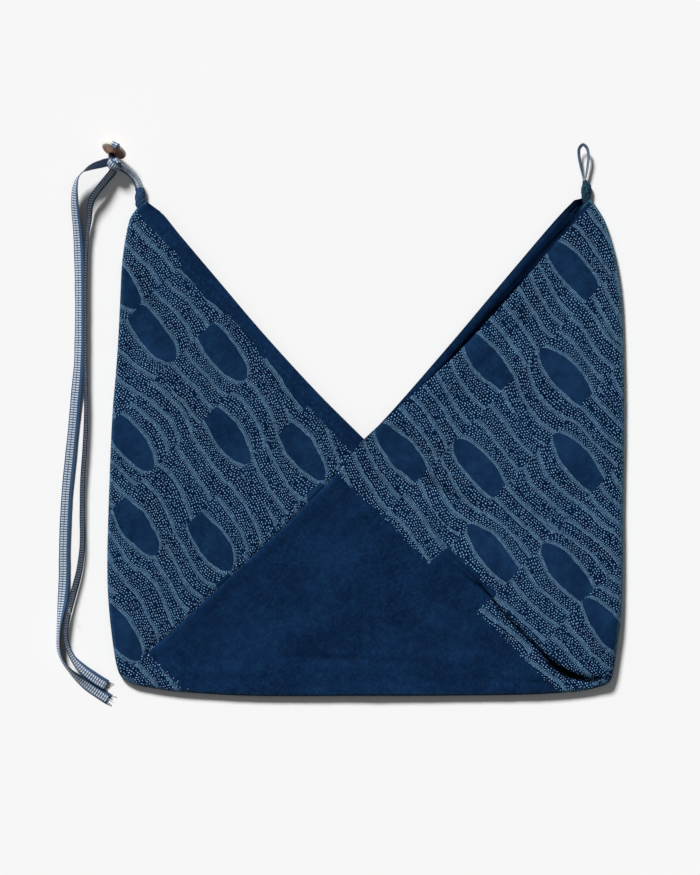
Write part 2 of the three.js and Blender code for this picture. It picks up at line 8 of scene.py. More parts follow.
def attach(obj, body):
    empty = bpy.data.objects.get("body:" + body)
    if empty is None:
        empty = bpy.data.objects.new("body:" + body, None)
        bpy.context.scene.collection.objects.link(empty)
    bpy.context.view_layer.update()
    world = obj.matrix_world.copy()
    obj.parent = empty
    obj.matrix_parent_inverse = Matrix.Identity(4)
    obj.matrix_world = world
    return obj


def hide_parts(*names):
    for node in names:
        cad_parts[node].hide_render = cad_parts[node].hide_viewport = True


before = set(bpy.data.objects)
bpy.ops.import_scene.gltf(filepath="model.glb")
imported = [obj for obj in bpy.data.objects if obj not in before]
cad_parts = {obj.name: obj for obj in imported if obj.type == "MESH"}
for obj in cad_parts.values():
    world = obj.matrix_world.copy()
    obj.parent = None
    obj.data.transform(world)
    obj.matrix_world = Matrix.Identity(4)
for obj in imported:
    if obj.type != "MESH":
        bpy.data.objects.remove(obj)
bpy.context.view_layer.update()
mm = 0.001

# ---- camera, straight above, a millimetre of cloth to a pixel

view = {"middle": (-0.016, 0.0105), "tall": 0.875, "clothTop": 0.008, "distance": 3.0, "sensor": 36.0,
        "clip": (0.1, 30)}


def makeCamera():
    data = bpy.data.cameras.new("camera")
    data.sensor_fit = "VERTICAL"
    data.sensor_height = view["sensor"]
    data.lens = view["sensor"] * view["distance"] / view["tall"]
    data.clip_start, data.clip_end = view["clip"]
    camera = bpy.data.objects.new("camera", data)
    camera.location = (*view["middle"], view["distance"] + view["clothTop"])
    bpy.context.scene.collection.objects.link(camera)
    bpy.context.scene.camera = camera


makeCamera()
bpy.context.scene.view_settings.view_transform = "Standard"
print("camera set")

# ---- lines and meshes


def unit(vectors):
    return vectors / np.maximum(np.linalg.norm(vectors, axis=-1, keepdims=True), 1e-12)


def blendSteps(x0, x1, x2, x3, shares):
    # centripetal steps between x1 and x2, for whole rows of points at once
    gap = lambda a, b: np.maximum(np.linalg.norm(b - a, axis=-1, keepdims=True), 1e-7) ** 0.5
    d0, d1, d2 = gap(x0, x1), gap(x1, x2), gap(x2, x3)
    m1 = ((x1 - x0) / d0 - (x2 - x0) / (d0 + d1) + (x2 - x1) / d1) * d1
    m2 = ((x2 - x1) / d1 - (x3 - x1) / (d1 + d2) + (x3 - x2) / d2) * d1
    return [x1 + m1 * q + (3 * x2 - 3 * x1 - 2 * m1 - m2) * q**2 + (2 * x1 - 2 * x2 + m1 + m2) * q**3
            for q in shares]


def refine(rows, steps):
    # points between rows of points, with a step count for each gap
    padded = [2 * rows[0] - rows[1], *rows, 2 * rows[-1] - rows[-2]]
    made = []
    for i, count in enumerate(steps):
        made += blendSteps(*padded[i:i + 4], [k / count for k in range(count)])
    return np.array([*made, rows[-1]])


class Line:
    def __init__(self, points, perStep=40):
        points = np.array(points, float)
        self.dense = refine(points, [perStep] * (len(points) - 1))
        self.run = np.concatenate([[0], np.cumsum(np.linalg.norm(np.diff(self.dense, axis=0), axis=1))])
        self.length = self.run[-1]

    def at(self, share):
        where = np.clip(share, 0, 1) * self.length
        return np.stack([np.interp(where, self.run, self.dense[:, k]) for k in range(3)], axis=-1)

    def side(self, share):
        ahead = self.at(np.minimum(share + 1e-4, 1)) - self.at(np.maximum(share - 1e-4, 0))
        return unit(np.stack([-ahead[..., 1], ahead[..., 0], 0 * ahead[..., 0]], axis=-1))


def smooth(x, low, high):
    q = np.clip((x - low) / (high - low), 0, 1)
    return q * q * (3 - 2 * q)


def addMesh(name, points, faces, marks, material, nodes):
    # marks holds a vector for each corner, or one for each point
    mesh = bpy.data.meshes.new(name)
    mesh.from_pydata([tuple(p) for p in points], [], [tuple(int(i) for i in f) for f in faces])
    for key, values in marks.items():
        values = np.asarray(values, np.float32)
        domain = "POINT" if len(values) == len(points) else "CORNER"
        layer = mesh.attributes.new(key, "FLOAT_VECTOR", domain)
        layer.data.foreach_set("vector", values.ravel())
    mesh.polygons.foreach_set("use_smooth", [True] * len(mesh.polygons))
    mesh.materials.append(material)
    piece = bpy.data.objects.new(name, mesh)
    bpy.context.scene.collection.objects.link(piece)
    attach(piece, "root")
    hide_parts(*nodes)
    return piece


def loft(sections, closedRun=False):
    # a skin round a row of sections, each a ring of points
    count, sides = sections.shape[:2]
    faces = []
    for s in range(count if closedRun else count - 1):
        n = (s + 1) % count
        for i in range(sides):
            j = (i + 1) % sides
            faces.append((s * sides + i, n * sides + i, n * sides + j, s * sides + j))
    if not closedRun:
        last = (count - 1) * sides
        faces.append(tuple(range(sides)))
        faces.append(tuple(last + i for i in reversed(range(sides))))
    return sections.reshape(-1, 3), faces


def together(parts):
    # several lots of points, faces and point marks as one
    points, faces, marks, start = [], [], [], 0
    for p, f, m in parts:
        points.append(p)
        marks.append(m)
        faces += [tuple(i + start for i in face) for face in f]
        start += len(p)
    return np.vstack(points), faces, np.vstack(marks)


# ---- shader maths

class Value:
    def __init__(self, shade, socket):
        self.shade, self.socket = shade, socket

    def __add__(self, other): return self.shade.math("ADD", self, other)
    def __radd__(self, other): return self.shade.math("ADD", other, self)
    def __sub__(self, other): return self.shade.math("SUBTRACT", self, other)
    def __rsub__(self, other): return self.shade.math("SUBTRACT", other, self)
    def __mul__(self, other): return self.shade.math("MULTIPLY", self, other)
    def __rmul__(self, other): return self.shade.math("MULTIPLY", other, self)
    def __truediv__(self, other): return self.shade.math("DIVIDE", self, other)
    def __rtruediv__(self, other): return self.shade.math("DIVIDE", other, self)
    def __gt__(self, other): return self.shade.math("GREATER_THAN", self, other)
    def __lt__(self, other): return self.shade.math("LESS_THAN", self, other)
    def __abs__(self): return self.shade.math("ABSOLUTE", self)


class Shade:
    def __init__(self, name):
        self.material = bpy.data.materials.new(name)
        self.material.use_nodes = True
        self.tree = self.material.node_tree
        self.surface = self.tree.nodes["Principled BSDF"]

    def node(self, kind, settings, sockets):
        made = self.tree.nodes.new(kind)
        for key, setting in settings.items():
            setattr(made, key, setting)
        for key, fed in sockets.items():
            self.feed(made.inputs[key], fed)
        return made

    def feed(self, socket, fed):
        if isinstance(fed, Value):
            fed = fed.socket
        if isinstance(fed, bpy.types.NodeSocket):
            self.tree.links.new(fed, socket)
        else:
            socket.default_value = fed

    def math(self, operation, *terms):
        return Value(self, self.node("ShaderNodeMath", {"operation": operation}, dict(enumerate(terms))).outputs[0])

    def floor(self, x): return self.math("FLOOR", x)
    def fract(self, x): return self.math("FRACT", x)
    def sine(self, x): return self.math("SINE", x)
    def sqrt(self, x): return self.math("SQRT", x)
    def larger(self, x, y): return self.math("MAXIMUM", x, y)
    def smaller(self, x, y): return self.math("MINIMUM", x, y)

    def rise(self, x, low, high, to=(0.0, 1.0)):
        return Value(self, self.node("ShaderNodeMapRange", {"interpolation_type": "SMOOTHSTEP"}, {
            0: x, 1: low, 2: high, 3: to[0], 4: to[1]}).outputs[0])

    def vector(self, x, y, z=0.0):
        return self.node("ShaderNodeCombineXYZ", {}, {0: x, 1: y, 2: z}).outputs[0]

    def mark(self, name):
        # a vector kept on the mesh, as three values
        kept = self.node("ShaderNodeAttribute", {"attribute_name": name}, {}).outputs["Vector"]
        parts = self.node("ShaderNodeSeparateXYZ", {}, {0: kept})
        return [Value(self, socket) for socket in parts.outputs]

    def cloud(self, place, scale, detail=2.0, rough=0.5):
        made = self.node("ShaderNodeTexNoise", {"noise_dimensions": "3D"}, {
            "Vector": place, "Scale": scale, "Detail": detail, "Roughness": rough})
        return Value(self, made.outputs[0])

    def chance(self, x, y, z=0.0):
        # three random values from whole numbers
        made = self.node("ShaderNodeTexWhiteNoise", {"noise_dimensions": "3D"}, {"Vector": self.vector(x, y, z)})
        parts = self.node("ShaderNodeSeparateXYZ", {}, {0: made.outputs["Color"]})
        return [Value(self, socket) for socket in parts.outputs]

    def mix(self, share, first, second, blend="MIX"):
        wide = lambda c: (*c, 1) if isinstance(c, tuple) and len(c) == 3 else c
        return self.node("ShaderNodeMix", {"data_type": "RGBA", "blend_type": blend, "clamp_factor": True}, {
            0: share, 6: wide(first), 7: wide(second)}).outputs[2]

    def bump(self, height, distance, strength=1.0):
        made = self.node("ShaderNodeBump", {}, {"Height": height, "Distance": distance, "Strength": strength})
        self.feed(self.surface.inputs["Normal"], made.outputs[0])

    def finish(self, colour, rough, sheen=0.0, gloss=0.06):
        self.feed(self.surface.inputs["Base Color"], colour)
        self.feed(self.surface.inputs["Roughness"], rough)
        self.surface.inputs["Sheen Weight"].default_value = sheen
        self.surface.inputs["Sheen Roughness"].default_value = 0.5
        self.surface.inputs["Specular IOR Level"].default_value = gloss
        return self.material


# ---- the tie's two tails; x, y, z in metres and the tape's tilt

tie = {
    "width": 0.011, "thick": 0.0009, "flute": 0.0005,
    # the weave in millimetres: plain far side, rung to rung, plain near side, between the rows
    "selvage": 3.4, "rung": 2.5, "margin": 1.1, "between": 0.5,
    "pale": (0.58, 0.64, 0.72), "blue": (0.022, 0.06, 0.13), "back": (0.04, 0.09, 0.175),
    "plainBackAndNeckShade": (0.004, 0.012, 0.032),
    "curl": [(-0.2958, -0.16, 0.0108), (-0.2967, -0.1618, 0.0116), (-0.2962, -0.1642, 0.0118),
             (-0.295, -0.1654, 0.0116), (-0.2946, -0.167, 0.0108)],
    "leftTail": [
        (-0.2546, 0.2852, 0.0115, 32), (-0.2596, 0.2849, 0.013, 34), (-0.264, 0.2834, 0.0155, 38),
        (-0.27, 0.2814, 0.0176, 46),
        (-0.2765, 0.2786, 0.0184, 62), (-0.283, 0.2746, 0.018, 84), (-0.2876, 0.2686, 0.0168, 72),
        (-0.2902, 0.26, 0.0146, 56), (-0.2909, 0.248, 0.0114, 45), (-0.2902, 0.233, 0.0074, 40),
        (-0.2888, 0.217, 0.0048, 34), (-0.2877, 0.198, 0.0034, 28), (-0.287, 0.173, 0.0031, 27),
        (-0.2868, 0.118, 0.003, 26), (-0.2878, 0.083, 0.0026, 22), (-0.2908, 0.048, 0.0018, 12),
        (-0.2934, 0.018, 0.0012, 5), (-0.2964, -0.012, 0.0011, 4), (-0.2994, -0.042, 0.0011, 4),
        (-0.3012, -0.072, 0.0011, 4), (-0.3022, -0.102, 0.0011, 4), (-0.3026, -0.132, 0.0013, 8),
        (-0.304, -0.152, 0.0024, 24), (-0.306, -0.168, 0.0046, 52), (-0.3076, -0.184, 0.0056, 66),
        (-0.3074, -0.202, 0.0056, 68), (-0.3036, -0.213, 0.0056, 72), (-0.2962, -0.2226, 0.0052, 64),
        (-0.2904, -0.2282, 0.0044, 48), (-0.2846, -0.233, 0.003, 28), (-0.278, -0.238, 0.0018, 12),
        (-0.271, -0.243, 0.001, 3), (-0.258, -0.2514, 0.0009, 0)],
    "rightTail": [
        (-0.2516, 0.2792, 0.0088, -50), (-0.2544, 0.2746, 0.009, -54), (-0.2578, 0.2704, 0.0098, -56),
        (-0.2626, 0.2642, 0.011, -56),
        (-0.268, 0.2574, 0.0114, -58), (-0.2734, 0.2496, 0.0104, -60), (-0.2762, 0.24, 0.0086, -64),
        (-0.277, 0.228, 0.0068, -68), (-0.2788, 0.216, 0.006, -72), (-0.28, 0.198, 0.0058, -77),
        (-0.2808, 0.168, 0.0058, -79), (-0.2808, 0.118, 0.0058, -79), (-0.2808, 0.078, 0.0058, -77),
        (-0.28, 0.038, 0.0058, -74), (-0.2814, -0.002, 0.0057, -70), (-0.2834, -0.032, 0.0057, -68),
        (-0.2838, -0.064, 0.0057, -66), (-0.2838, -0.098, 0.0056, -64), (-0.2864, -0.121, 0.0056, -60),
        (-0.291, -0.139, 0.0056, -58), (-0.2954, -0.156, 0.0058, -60), (-0.299, -0.172, 0.0062, -66),
        (-0.3004, -0.188, 0.006, -70), (-0.2974, -0.202, 0.0056, -70), (-0.292, -0.212, 0.0052, -60),
        (-0.2836, -0.221, 0.005, -36), (-0.2726, -0.2296, 0.0036, -12), (-0.26, -0.2376, 0.0028, -4)],
}
# a tape cut across: shares of its width and of its thickness
tapeSection = np.array([
    (0.5, -0.15), (0.5, 0.15), (0.46, 0.42), (0.3, 0.5), (0.02, 0.42), (-0.02, 0.42), (-0.3, 0.5), (-0.46, 0.42),
    (-0.5, 0.15), (-0.5, -0.15), (-0.46, -0.42), (-0.3, -0.5), (-0.02, -0.42), (0.02, -0.42), (0.3, -0.5),
    (0.46, -0.42)])


def tapeShade():
    # narrow woven tape: two rows of pale rungs, plain at both sides; the mark's third value
    # tells its printed face (0), a pale band (-0.4), its plain back (-1), also given to the knot's neck as painted
    # shade, and loose threads (over 0.5)
    shade = Shade("tapeCloth")
    width, margin, between = tie["width"] / mm, tie["margin"], tie["between"]
    run, across, kind = shade.mark("lie")
    place = shade.vector(run, across, kind)
    wander = shade.cloud(place, 0.9, 2.0) - 0.5
    left = across + width / 2
    rungWide = (width - tie["selvage"] - margin - between) / 2
    step = shade.fract(run / tie["rung"] + wander * 0.16)
    rung = shade.rise(step, 0.14, 0.26) - shade.rise(step, 0.7, 0.84)
    ragged = wander * 0.9
    firstEnd = margin + rungWide
    firstRow = shade.rise(left + ragged, margin - 0.2, margin + 0.2)
    firstRow = firstRow - shade.rise(left + ragged, firstEnd - 0.2, firstEnd + 0.1)
    start = firstEnd + between
    secondRow = shade.rise(left + ragged, start - 0.1, start + 0.2)
    secondRow = secondRow - shade.rise(left - ragged, start + rungWide - 0.2, start + rungWide + 0.3)
    patchy = shade.cloud(place, 0.35, 3.0)
    shown = rung * (firstRow + secondRow) * shade.rise(patchy, 0.2, 0.5, (0.65, 1.0))
    threads = shade.sine(run * 9.2) * 0.5 + shade.sine(across * 11.0) * 0.5
    ground = shade.mix(shade.rise(threads + patchy, -0.4, 1.4), tie["blue"], tie["back"])
    # near-black for the tape's plain back, and as painted shade on the knot's neck
    ground = shade.mix(kind < -0.5, ground, tie["plainBackAndNeckShade"])
    shown = shade.larger(shown, (kind < -0.3) * (firstRow + secondRow) * 0.62) * (kind > -0.5)
    colour = shade.mix(shown * 0.92, ground, tie["pale"])
    loose = kind > 0.5
    colour = shade.mix(loose, colour, shade.mix(shade.fract(kind * 7.3) > 0.55, tie["back"], tie["pale"]))
    shade.bump(threads * 0.5 + shown * 0.6, 0.00022, 0.8)
    return shade.finish(colour, 0.85, sheen=0.15)


tapeSteps = 8


def tapeRun(rows, perRow):
    # points along a tape, with the ways across it and out of its face; the tilt is eased in between
    rows = np.array(rows, float)
    centres = refine(rows[:, :3], [perRow] * (len(rows) - 1))
    count = len(rows)
    where = np.linspace(0, count - 1, len(centres))
    index = np.minimum(where.astype(int), count - 2)
    q = where - index
    t0, t1, t2, t3 = (rows[np.clip(index + k, 0, count - 1), 3] for k in (-1, 0, 1, 2))
    tilt = np.radians(0.5 * (2 * t1 + (t2 - t0) * q + (2 * t0 - 5 * t1 + 4 * t2 - t3) * q**2
                             + (3 * t1 - t0 - 3 * t2 + t3) * q**3))[:, None]
    ahead = unit(np.gradient(centres, axis=0))
    level = unit(np.stack([ahead[:, 1], -ahead[:, 0], 0 * ahead[:, 0]], axis=1))
    across = level * np.cos(tilt) + np.cross(ahead, level) * np.sin(tilt)
    return centres, unit(across), unit(np.cross(across, ahead))


def tape(rows, seed, faceTurn):
    # a tail's skin; before faceTurn millimetres its plain back is uppermost
    centres, across, out = tapeRun(rows, tapeSteps)
    run = np.concatenate([[0], np.cumsum(np.linalg.norm(np.diff(centres, axis=0), axis=1))]) / mm
    wave = np.array([noise.noise(Vector((r * 0.07, seed * 3.1, 0.5))) for r in run])
    wide = tie["width"] * (1 + 0.03 * wave)
    sections = []
    for i in range(len(centres)):
        bend = tie["flute"] * wave[i] * (4 * tapeSection[:, 0] ** 2 - 0.5)
        sections.append(centres[i] + across[i] * tapeSection[:, :1] * wide[i]
                        + out[i] * (tapeSection[:, 1:] * tie["thick"] + bend[:, None]))
    points, faces = loft(np.array(sections))
    facing = np.where(run < faceTurn, -1, 1)[:, None] * tapeSection[:, 1]
    marks = np.stack([np.repeat(run, len(tapeSection)), np.tile(-tapeSection[:, 0] * tie["width"] / mm, len(run)),
                      np.where(facing < 0, -1.0, 0.0).ravel()], axis=1)
    return points, faces, marks


def strand(points, radius, kind, sides=5):
    # a loose thread
    points = np.array(points, float)
    ahead = unit(np.gradient(points, axis=0))
    first = unit(np.cross(ahead, np.array([0.3, 0.2, 1.0])))
    second = np.cross(ahead, first)
    turns = np.linspace(0, 2 * math.pi, sides, endpoint=False)
    rings = np.array([[p + radius * (math.cos(a) * f + math.sin(a) * g) for a in turns]
                      for p, f, g in zip(points, first, second)])
    skin, faces = loft(rings)
    return skin, faces, np.tile([0.0, 0.0, kind], (len(skin), 1))


def frayedEnd(rows, seed, count, longest):
    # warp threads that stand out of a tape's cut end
    centres, across, _ = tapeRun(rows, tapeSteps)
    ahead = unit(centres[-1] - centres[-4])
    rng = np.random.default_rng(seed)
    made = []
    for i in range(count):
        place = (i + 0.5) / count - 0.5
        start = centres[-1] + across[-1] * place * tie["width"] * 0.94 - ahead * 0.001
        long = longest * rng.uniform(0.25, 1.0)
        sway = rng.uniform(-0.9, 0.9)
        drop = max(start[2] - 0.0005, 0)
        line = []
        for q in np.linspace(0, 1, 7):
            step = ahead * long * q + across[-1] * sway * long * q**2 * 0.7
            step[2] = -drop * min(1, q * 1.5) + 0.0006 * math.sin(6 * q + i)
            spot = start + step
            spot[2] = max(spot[2], 0.0003)
            line.append(spot)
        made.append(strand(line, rng.uniform(0.00016, 0.00028), 1 + rng.uniform(0.02, 0.98)))
    return made


tapeCloth = tapeShade()


def makeTail(name, node, rows, seed, fray, faceTurn=0, extra=()):
    parts = [tape(rows, seed, faceTurn), *frayedEnd(rows, seed, *fray), *extra]
    points, faces, marks = together(parts)
    piece = addMesh(name, points, faces, {"lie": marks}, tapeCloth, [node])
    line = tapeRun(rows, tapeSteps)[0]
    [tuple(p) for p in line[::4]] + [tuple(line[-1])]
    return piece


makeTail("leftTail", "tie_left_tail", tie["leftTail"], 3, (13, 0.008), faceTurn=30)
curl = refine(np.array(tie["curl"]), [5] * (len(tie["curl"]) - 1))
makeTail("rightTail", "tie_right_tail", tie["rightTail"], 8, (12, 0.0072), extra=[strand(curl, 0.0002, 1.2)])


# ---- knot, button, tabs and loop

def ribbon(centres, across, out, width, thick, flip=1, cup=0.0, closedRun=False, kind=0.0):
    # a tape's skin on a line whose ways across and out are known; cup bends its sides inwards
    run = np.concatenate([[0], np.cumsum(np.linalg.norm(np.diff(centres, axis=0), axis=1))]) / mm
    flatPart, thickPart = tapeSection[:, 0], tapeSection[:, 1]
    bend = -cup * (2 * flatPart) ** 2
    sections = (centres[:, None] + across[:, None] * flatPart[None, :, None] * width
                + out[:, None] * (thickPart * thick + bend)[None, :, None])
    points, faces = loft(sections, closedRun)
    marks = np.stack([np.repeat(run, len(tapeSection)), np.tile(flip * flatPart * width / mm, len(run)),
                      np.full(len(points), kind)], axis=1)
    return points, faces, marks


def lump(rows, sides, perRow, wrinkle=0.0, groove=0.0, seed=0.0):
    # a soft roll through ovals: x, y, z, width and height in millimetres
    rows = np.array(rows, float)
    fine = refine(rows, [perRow] * (len(rows) - 1))
    ahead = unit(np.gradient(fine[:, :3], axis=0))
    across = unit(np.stack([ahead[:, 1], -ahead[:, 0], 0 * ahead[:, 0]], axis=1))
    up = np.cross(across, ahead)
    run = np.concatenate([[0], np.cumsum(np.linalg.norm(np.diff(fine[:, :3], axis=0), axis=1))])
    turns = np.linspace(0, 2 * math.pi, sides, endpoint=False)
    sections, marks = [], []
    for i, row in enumerate(fine):
        ring = []
        for a in turns:
            twist = a + run[i] * 0.16
            fold = groove * math.exp(-((math.remainder(twist - 1.2, 2 * math.pi)) / 0.22) ** 2)
            spot = Vector((2.2 * math.cos(twist), 2.2 * math.sin(twist), run[i] * 0.22 + seed))
            grow = 1 + wrinkle * noise.noise(spot) - fold
            ring.append(row[:3] + across[i] * row[3] / 2 * math.cos(a) * grow
                        + up[i] * row[4] / 2 * math.sin(a) * grow)
            marks.append((run[i], a * (row[3] + row[4]) / 4, 0.0))
        sections.append(ring)
    points, faces = loft(np.array(sections) * mm)
    return points, faces, np.array(marks)


button = {
    "radius": 13, "thick": 4.6, "hole": 0.04, "lean": 67, "heading": 243, "middle": (-251.4, 297.5, 13.27),
    "sides": 96, "face": (0.85, 0.44, 0.27), "dark": (0.27, 0.13, 0.085), "rim": (0.62, 0.62, 0.57),
    "rimDark": (0.4, 0.36, 0.32), "grain": (0.3, 0.17, 0.13),
}
lean, heading = math.radians(button["lean"]), math.radians(button["heading"])
buttonFace = Vector((math.cos(heading) * math.sin(lean), math.sin(heading) * math.sin(lean), math.cos(lean)))
buttonTurn = Vector((0, 1, 0)).rotation_difference(buttonFace)
buttonAcross = unit(np.cross(np.array(buttonFace), [0, 0, 1.0]))
buttonUp = np.cross(buttonAcross, np.array(buttonFace))


def onButton(across, up, out):
    return np.array(button["middle"]) + buttonAcross * across + buttonUp * up + np.array(buttonFace) * out


def buttonShade():
    shade = Shade("shellButton")
    across, radius, height = shade.mark("lie")
    place = shade.vector(across, radius, height)
    grain = shade.cloud(shade.vector(across * 0.35, radius * 0.35, height * 2.4), 1.1, 4.0, 0.65)
    blotch = shade.cloud(place, 0.16, 2.0)
    face = shade.mix(shade.rise(blotch + across * 0.022, 0.42, 0.68), button["face"], button["dark"])
    face = shade.mix(shade.rise(grain, 0.5, 0.66) * 0.7, face, button["grain"])
    edge = shade.rise(radius, 10.2, 11.8) * shade.rise(across * -0.05 + blotch, 0.3, 0.7)
    edge = shade.larger(edge, shade.rise(radius, 12.1, 12.6) * 0.9)
    colour = shade.mix(edge, face, shade.mix(grain, button["rim"], button["rimDark"]))
    shade.bump(grain, 0.0003, 0.6)
    return shade.finish(colour, shade.rise(grain, 0.2, 0.8, (0.35, 0.6)), gloss=0.4)


def makeButton():
    r, h, hole = button["radius"], button["thick"] / 2, button["hole"]
    corners = [(hole, -h), (hole + 0.9, -h), (r - 4, -h), (r - 1.9, -h + 0.3),
               (r - 0.7, -h + 1), (r - 0.1, -0.7), (r, 0.1), (r - 0.15, 1), (r - 0.6, h - 0.4), (r - 1.3, h - 0.05),
               (r - 2.4, h - 0.05), (r - 3.4, h - 0.4), (r - 4.6, h - 0.85), (hole + 1.1, h - 1),
               (hole, h - 1)]
    profile = refine(np.array([(a, b, 0.0) for a, b in corners]), [3] * (len(corners) - 1))
    sections, marks = [], []
    for k in range(button["sides"]):
        a = 2 * math.pi * k / button["sides"]
        ring = []
        for x, y, _ in profile:
            uneven = 1 + 0.012 * math.sin(2 * a + 0.6) * (x / r) ** 3
            spot = Vector((x * uneven * math.sin(a), y, x * uneven * math.cos(a)))
            spot.rotate(buttonTurn)
            spot += Vector(button["middle"])
            ring.append(spot)
            marks.append((spot.x - button["middle"][0], x, y))
        sections.append(ring)
    points, faces = loft(np.array(sections) * mm, closedRun=True)
    return addMesh("shellButton", points, faces, {"lie": marks}, buttonShade(), ["button"])


knot = {
    "middle": (-251, 283.4, 12), "core": (6.6, 5.3, 4.9), "wraps": ((35, 62), (-40, 108)), "radius": 6.7,
    "oval": 0.86, "width": 7.6, "cup": 0.9, "layers": 0.75,
    "band": [(-226.6, 260.6, 5.2, -20), (-228.9, 267.4, 6.8, -36), (-235.2, 274.8, 8.6, -44),
             (-242.5, 280, 10.6, -40), (-249, 282.6, 11.6, -30)],
    "over": [(0.5, -7, -1.5), (0.5, -6, -3.2), (0.4, 0, -3.4), (0.2, 8, -3.1), (0.2, 12, -2.4), (0.2, 13.4, -1.2),
             (0.2, 13.7, 0.8), (0.2, 12.8, 2.5), (0.2, 10.8, 2.7), (0.2, 9, 0.8)],
}


def makeKnot():
    middle = np.array(knot["middle"])
    parts = []
    rows = [(x * mm, y * mm, z * mm, tilt) for x, y, z, tilt in knot["band"]]
    centres, across, out = tapeRun(rows, 10)
    for lift, wide, kind in ((-knot["layers"], 0.66, 0.0), (knot["layers"], 0.82, -0.4)):
        wave = np.array([[0.15 * noise.noise(Vector((i * 0.25, lift, 2.0)))] for i in range(len(centres))])
        parts.append(ribbon(centres + out * (lift + wave) * mm, across, out, tie["width"] * wide, tie["thick"],
                            flip=-1, kind=kind))
    for k, (turn, leaning) in enumerate(knot["wraps"]):
        turn, leaning = math.radians(turn), math.radians(leaning)
        first = np.array([math.cos(turn), math.sin(turn), 0])
        second = np.array([-math.sin(turn) * math.cos(leaning), math.cos(turn) * math.cos(leaning),
                           math.sin(leaning)])
        axis = np.cross(first, second)
        angles = np.linspace(0, 2 * math.pi, 49)[:-1]
        radial = np.cos(angles)[:, None] * first + knot["oval"] * np.sin(angles)[:, None] * second
        wobble = 1 + 0.03 * np.sin(3 * angles + k)[:, None]
        line = (middle + radial * wobble * (knot["radius"] + 0.5 * k)) * mm
        parts.append(ribbon(line, np.tile(axis, (len(line), 1)), unit(radial), knot["width"] * mm, tie["thick"],
                            flip=-1, cup=knot["cup"] * mm, closedRun=True))
    wide, deep, high = (2 * v for v in knot["core"])
    x, y, z = middle
    ways = (-1, -0.8, -0.4, 0, 0.4, 0.8, 1)
    swell = [math.sqrt(max(0.02, 1 - q * q)) for q in ways]
    core = [(x + q * wide / 2, y - q * 1.5, z, deep * g, high * g) for q, g in zip(ways, swell)]
    parts.append(lump(core, 28, 4, wrinkle=0.16, seed=4.0))
    neck = [(*onButton(0.5, -7.5, 0), 5, 5), (*onButton(0.5, -7.5, 3), 6.2, 6), (x - 0.5, y + 3.5, z - 1, 6.4, 6)]
    skin, neckFaces, neckMarks = lump(neck, 24, 6, wrinkle=0.12, groove=0.14, seed=9.0)
    # the neck takes the tape's near-black plain-back colour, as painted shade under the button
    parts.append((skin, neckFaces, neckMarks - [0, 0, 1]))
    # the tape's end comes up behind the button and over its rim into the face
    rows = [onButton(a, b, d) for a, b, d in knot["over"]]
    line = refine(np.array(rows), [8] * (len(rows) - 1)) * mm
    beside = np.tile(buttonAcross, (len(line), 1))
    parts.append(ribbon(line, beside, unit(np.cross(beside, unit(np.gradient(line, axis=0)))), knot["width"] * mm,
                        tie["thick"], flip=-1))
    points, faces, marks = together(parts)
    return addMesh("knottedTape", points, faces, {"lie": marks}, tapeCloth, ["tie_knot"])


tabs = {
    "left": [(-223.5, 238, 4.2, 7, 3.2), (-224.8, 242.5, 4.3, 9.6, 4.6), (-225.7, 246.6, 4.5, 10.6, 6.2),
             (-226.2, 251, 4.6, 10, 6.8), (-226, 256, 4.8, 9.2, 6.4), (-226.4, 260.2, 5, 9, 5.4)],
    "right": [(222, 240, 4.4, 5, 3.2), (221, 246, 4.5, 7.6, 4.8), (220.4, 251, 4.6, 9.2, 6.8),
              (220.6, 256, 4.6, 10.2, 7.6), (220.6, 260.4, 4.7, 10.2, 8), (220, 264, 4.7, 7.6, 7.2),
              (218.8, 267.8, 4.6, 4.4, 5.2)],
    "left tones": ((0.016, 0.041, 0.104), (0.038, 0.088, 0.17)),
    "right tones": ((0.006, 0.024, 0.05), (0.03, 0.08, 0.105)),
}


def tabShade(name, tones):
    shade = Shade(name)
    run, around, kind = shade.mark("lie")
    place = shade.vector(run, around, kind)
    worn = shade.cloud(place, 0.5, 3.0)
    threads = shade.sine(run * 9.5) * 0.5 + shade.sine(around * 9.9) * 0.5
    colour = shade.mix(shade.rise(worn + threads * 0.08, 0.35, 0.7), *tones)
    shade.bump(threads * 0.5 + worn, 0.0004, 0.7)
    return shade.finish(colour, 0.9)


for side, seed in (("left", 1.0), ("right", 5.5)):
    points, faces, marks = lump(tabs[side], 44, 8, wrinkle=0.16, groove=0.2, seed=seed)
    addMesh(side + "RolledTab", points, faces, {"lie": marks}, tabShade(side + "Tab", tabs[side + " tones"]),
            [side + "_tab"])

loop = {
    "width": 3.4, "thick": 1.1, "pale": (0.2, 0.25, 0.33), "blue": (0.035, 0.075, 0.14),
    "route": [(218.6, 262.5, 4.6, 86), (217.7, 268.4, 4.6, 82), (216.4, 275, 4.8, 66), (214.6, 284, 5.2, 40),
              (213.1, 293, 6, 30), (213.3, 299.6, 7.2, 25), (217, 303.4, 8, 25), (220.8, 300.4, 8, 40),
              (222.6, 293, 7.4, 55),
              (222, 284, 6.4, 60), (220.8, 275, 5.4, 70), (219.6, 268.6, 4.6, 82), (219.2, 262.5, 4.6, 86)],
}


def loopShade():
    shade = Shade("loopTape")
    run, across, kind = shade.mark("lie")
    stripes = shade.sine(across * 3.6 + 0.6)
    rungs = shade.sine(run * 4.4)
    patchy = shade.cloud(shade.vector(run, across, kind), 0.3, 2.0)
    colour = shade.mix(shade.rise(stripes + rungs * 0.35 + patchy, -0.2, 1.4), loop["blue"], loop["pale"])
    shade.bump(stripes + rungs * 0.5, 0.0002, 0.6)
    return shade.finish(colour, 0.85)


